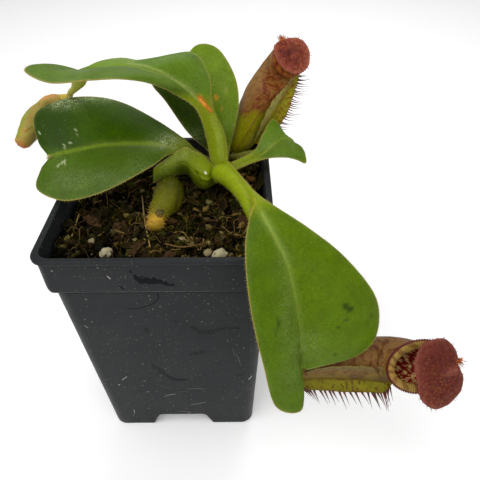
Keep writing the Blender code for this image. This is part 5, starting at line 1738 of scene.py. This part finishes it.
def make_back_pitcher():
    """The cup that stands at the back right."""
    back = Pitcher(BACK_AXIS, BACK_RADII, BACK_MOUTH, BACK_SIDES, BACK_OVAL)
    cup("cup_back", "pitcher_back", back, back_paint)
    olive = wing_paint((140, 134, 20), (130, 60, 14), 0.9, (120, 66, 24))
    dull = wing_paint((150, 142, 74), (140, 96, 60), 0.5, (150, 164, 60))
    wing("wing_back_right", back, (0.7, 0.5), 0.34, 0.86, (5.5, 6.0, 5.0, 3.6, 2.6, 2.0), (0.35, 0.35),
         olive, count=34, length=4.8, bristle=0.3, colour=(112, 56, 32), tilt=0.1, droop=(0.3, 0, 0.35))
    wing("wing_back_left", back, (0.7, 0.0), 0.36, 0.88, (6.2, 6.8, 6.0, 4.0), (-1.45, -1.4), dull,
         count=34, length=1.2, colour=(122, 44, 30), bristle=0.18)
    lip("lip_back", "pitcher_back_lip", back, 0.9, 72, 15, (166, 100, 26), (124, 44, 18), (134, 66, 28))
    back_row(back)
    seat = back.spot(1.0, math.pi, 0.5, 2.9)
    lid("lid_back", "pitcher_back_lid", BACK_HINGE, BACK_LID, 1.5, 3.0, seat,
        ((122, 50, 40), (176, 108, 82), (168, 104, 58)), dark=0.9, count=40, length=1.5)


def make_young_pitchers():
    """The two closed young pitchers; the small one has a fringe of long hairs."""
    young("young_left", "pitcher_left", LEFT_AXIS, LEFT_RADII, left_paint)
    rings = young("young_small", "pitcher_small", SMALL_AXIS, SMALL_RADII, small_paint)
    level = rng.integers(38, 88, SMALL_FRINGE_HAIRS)
    column = rng.integers(0, YOUNG_ROUND, SMALL_FRINGE_HAIRS)
    keep = rng.uniform(0, 1, SMALL_FRINGE_HAIRS) < smooth(level, 34, 80)
    roots = rings[level, column][keep]
    outward = unit(roots - rings.mean(axis=1)[level[keep]])
    ways = outward + np.array([-0.1, -0.4, 0.1]) + rng.normal(0, 0.3, roots.shape)
    lengths = rng.uniform(0.9, 2.2, len(roots))
    hairs("young_small_fringe", roots, ways, lengths, 0.1, srgb(214, 170, 84))


def make_leaf_tip():
    """The tuft of hairs on the left leaf's tip."""
    roots = np.array(LEAF_LEFT[-1][1]) + rng.normal(0, 0.55, (TIP_HAIRS, 3))
    ways = np.array([-1, -0.3, -0.1]) + rng.normal(0, 0.6, (TIP_HAIRS, 3))
    lengths = rng.uniform(0.6, 1.6, TIP_HAIRS)
    hairs("blade_left_tuft", roots, ways, lengths, 0.1, srgb(176, 174, 104))


# Floor, light and camera.

FLOOR_REACH = 6.0
AIM = (0, 0, 0.12)
# Name, place, power and size of each lamp.
LAMPS = (
    ("key", (-0.3, -0.3, 0.9), 5.0, 0.7),
    ("fill", (0.6, -0.7, 0.6), 1.6, 0.6),
    ("back", (0.1, 0.7, 0.8), 2.6, 0.6),
)


def make_floor():
    """A plain pale floor."""
    mesh = bpy.data.meshes.new("floor")
    corners = [(x * FLOOR_REACH, y * FLOOR_REACH, 0) for x, y in ((-1, -1), (1, -1), (1, 1), (-1, 1))]
    mesh.from_pydata(corners, [], [(0, 1, 2, 3)])
    pale = Shader("floor_pale", Roughness=0.9, Base_Color=(0.98, 0.98, 0.98), Emission_Color=(1, 1, 1),
                  Emission_Strength=0.14)
    mesh.materials.append(pale.mat)
    add_object("floor", mesh)


def make_light():
    """White surroundings and three soft lamps."""
    bpy.context.scene.view_settings.view_transform = "Standard"
    world = bpy.data.worlds.new("studio")
    world.use_nodes = True
    sky = world.node_tree.nodes["Background"]
    sky.inputs["Color"].default_value = (1, 1, 1, 1)
    sky.inputs["Strength"].default_value = 0.45
    bpy.context.scene.world = world
    for name, place, power, size in LAMPS:
        data = bpy.data.lights.new(name, "AREA")
        data.energy = power
        data.size = size
        light = add_object(name, data)
        light.location = place
        light.rotation_euler = (Vector(AIM) - Vector(place)).to_track_quat("-Z", "Y").to_euler()


def make_camera():
    """The camera, where the photograph's was."""
    ahead, right, up = camera_axes()
    data = bpy.data.cameras.new("camera")
    data.sensor_width = SENSOR
    data.lens = FOCAL / FRAME_SIZE * SENSOR
    data.clip_start = 0.01
    camera = add_object("camera", data)
    turn = Matrix((right, up, -ahead)).transposed().to_4x4()
    camera.matrix_world = Matrix.Translation(np.array(CAMERA) * MM + MIDDLE) @ turn
    bpy.context.scene.camera = camera


make_floor()
make_light()
make_camera()
make_pot()
make_soil()
make_stones()
make_bark()
make_chips()
make_fibres()
make_flakes()
make_moss()
make_pot_marks()
make_crown()
make_leaves()
make_tendrils()
make_front_pitcher()
make_back_pitcher()
make_young_pitchers()
make_leaf_tip()
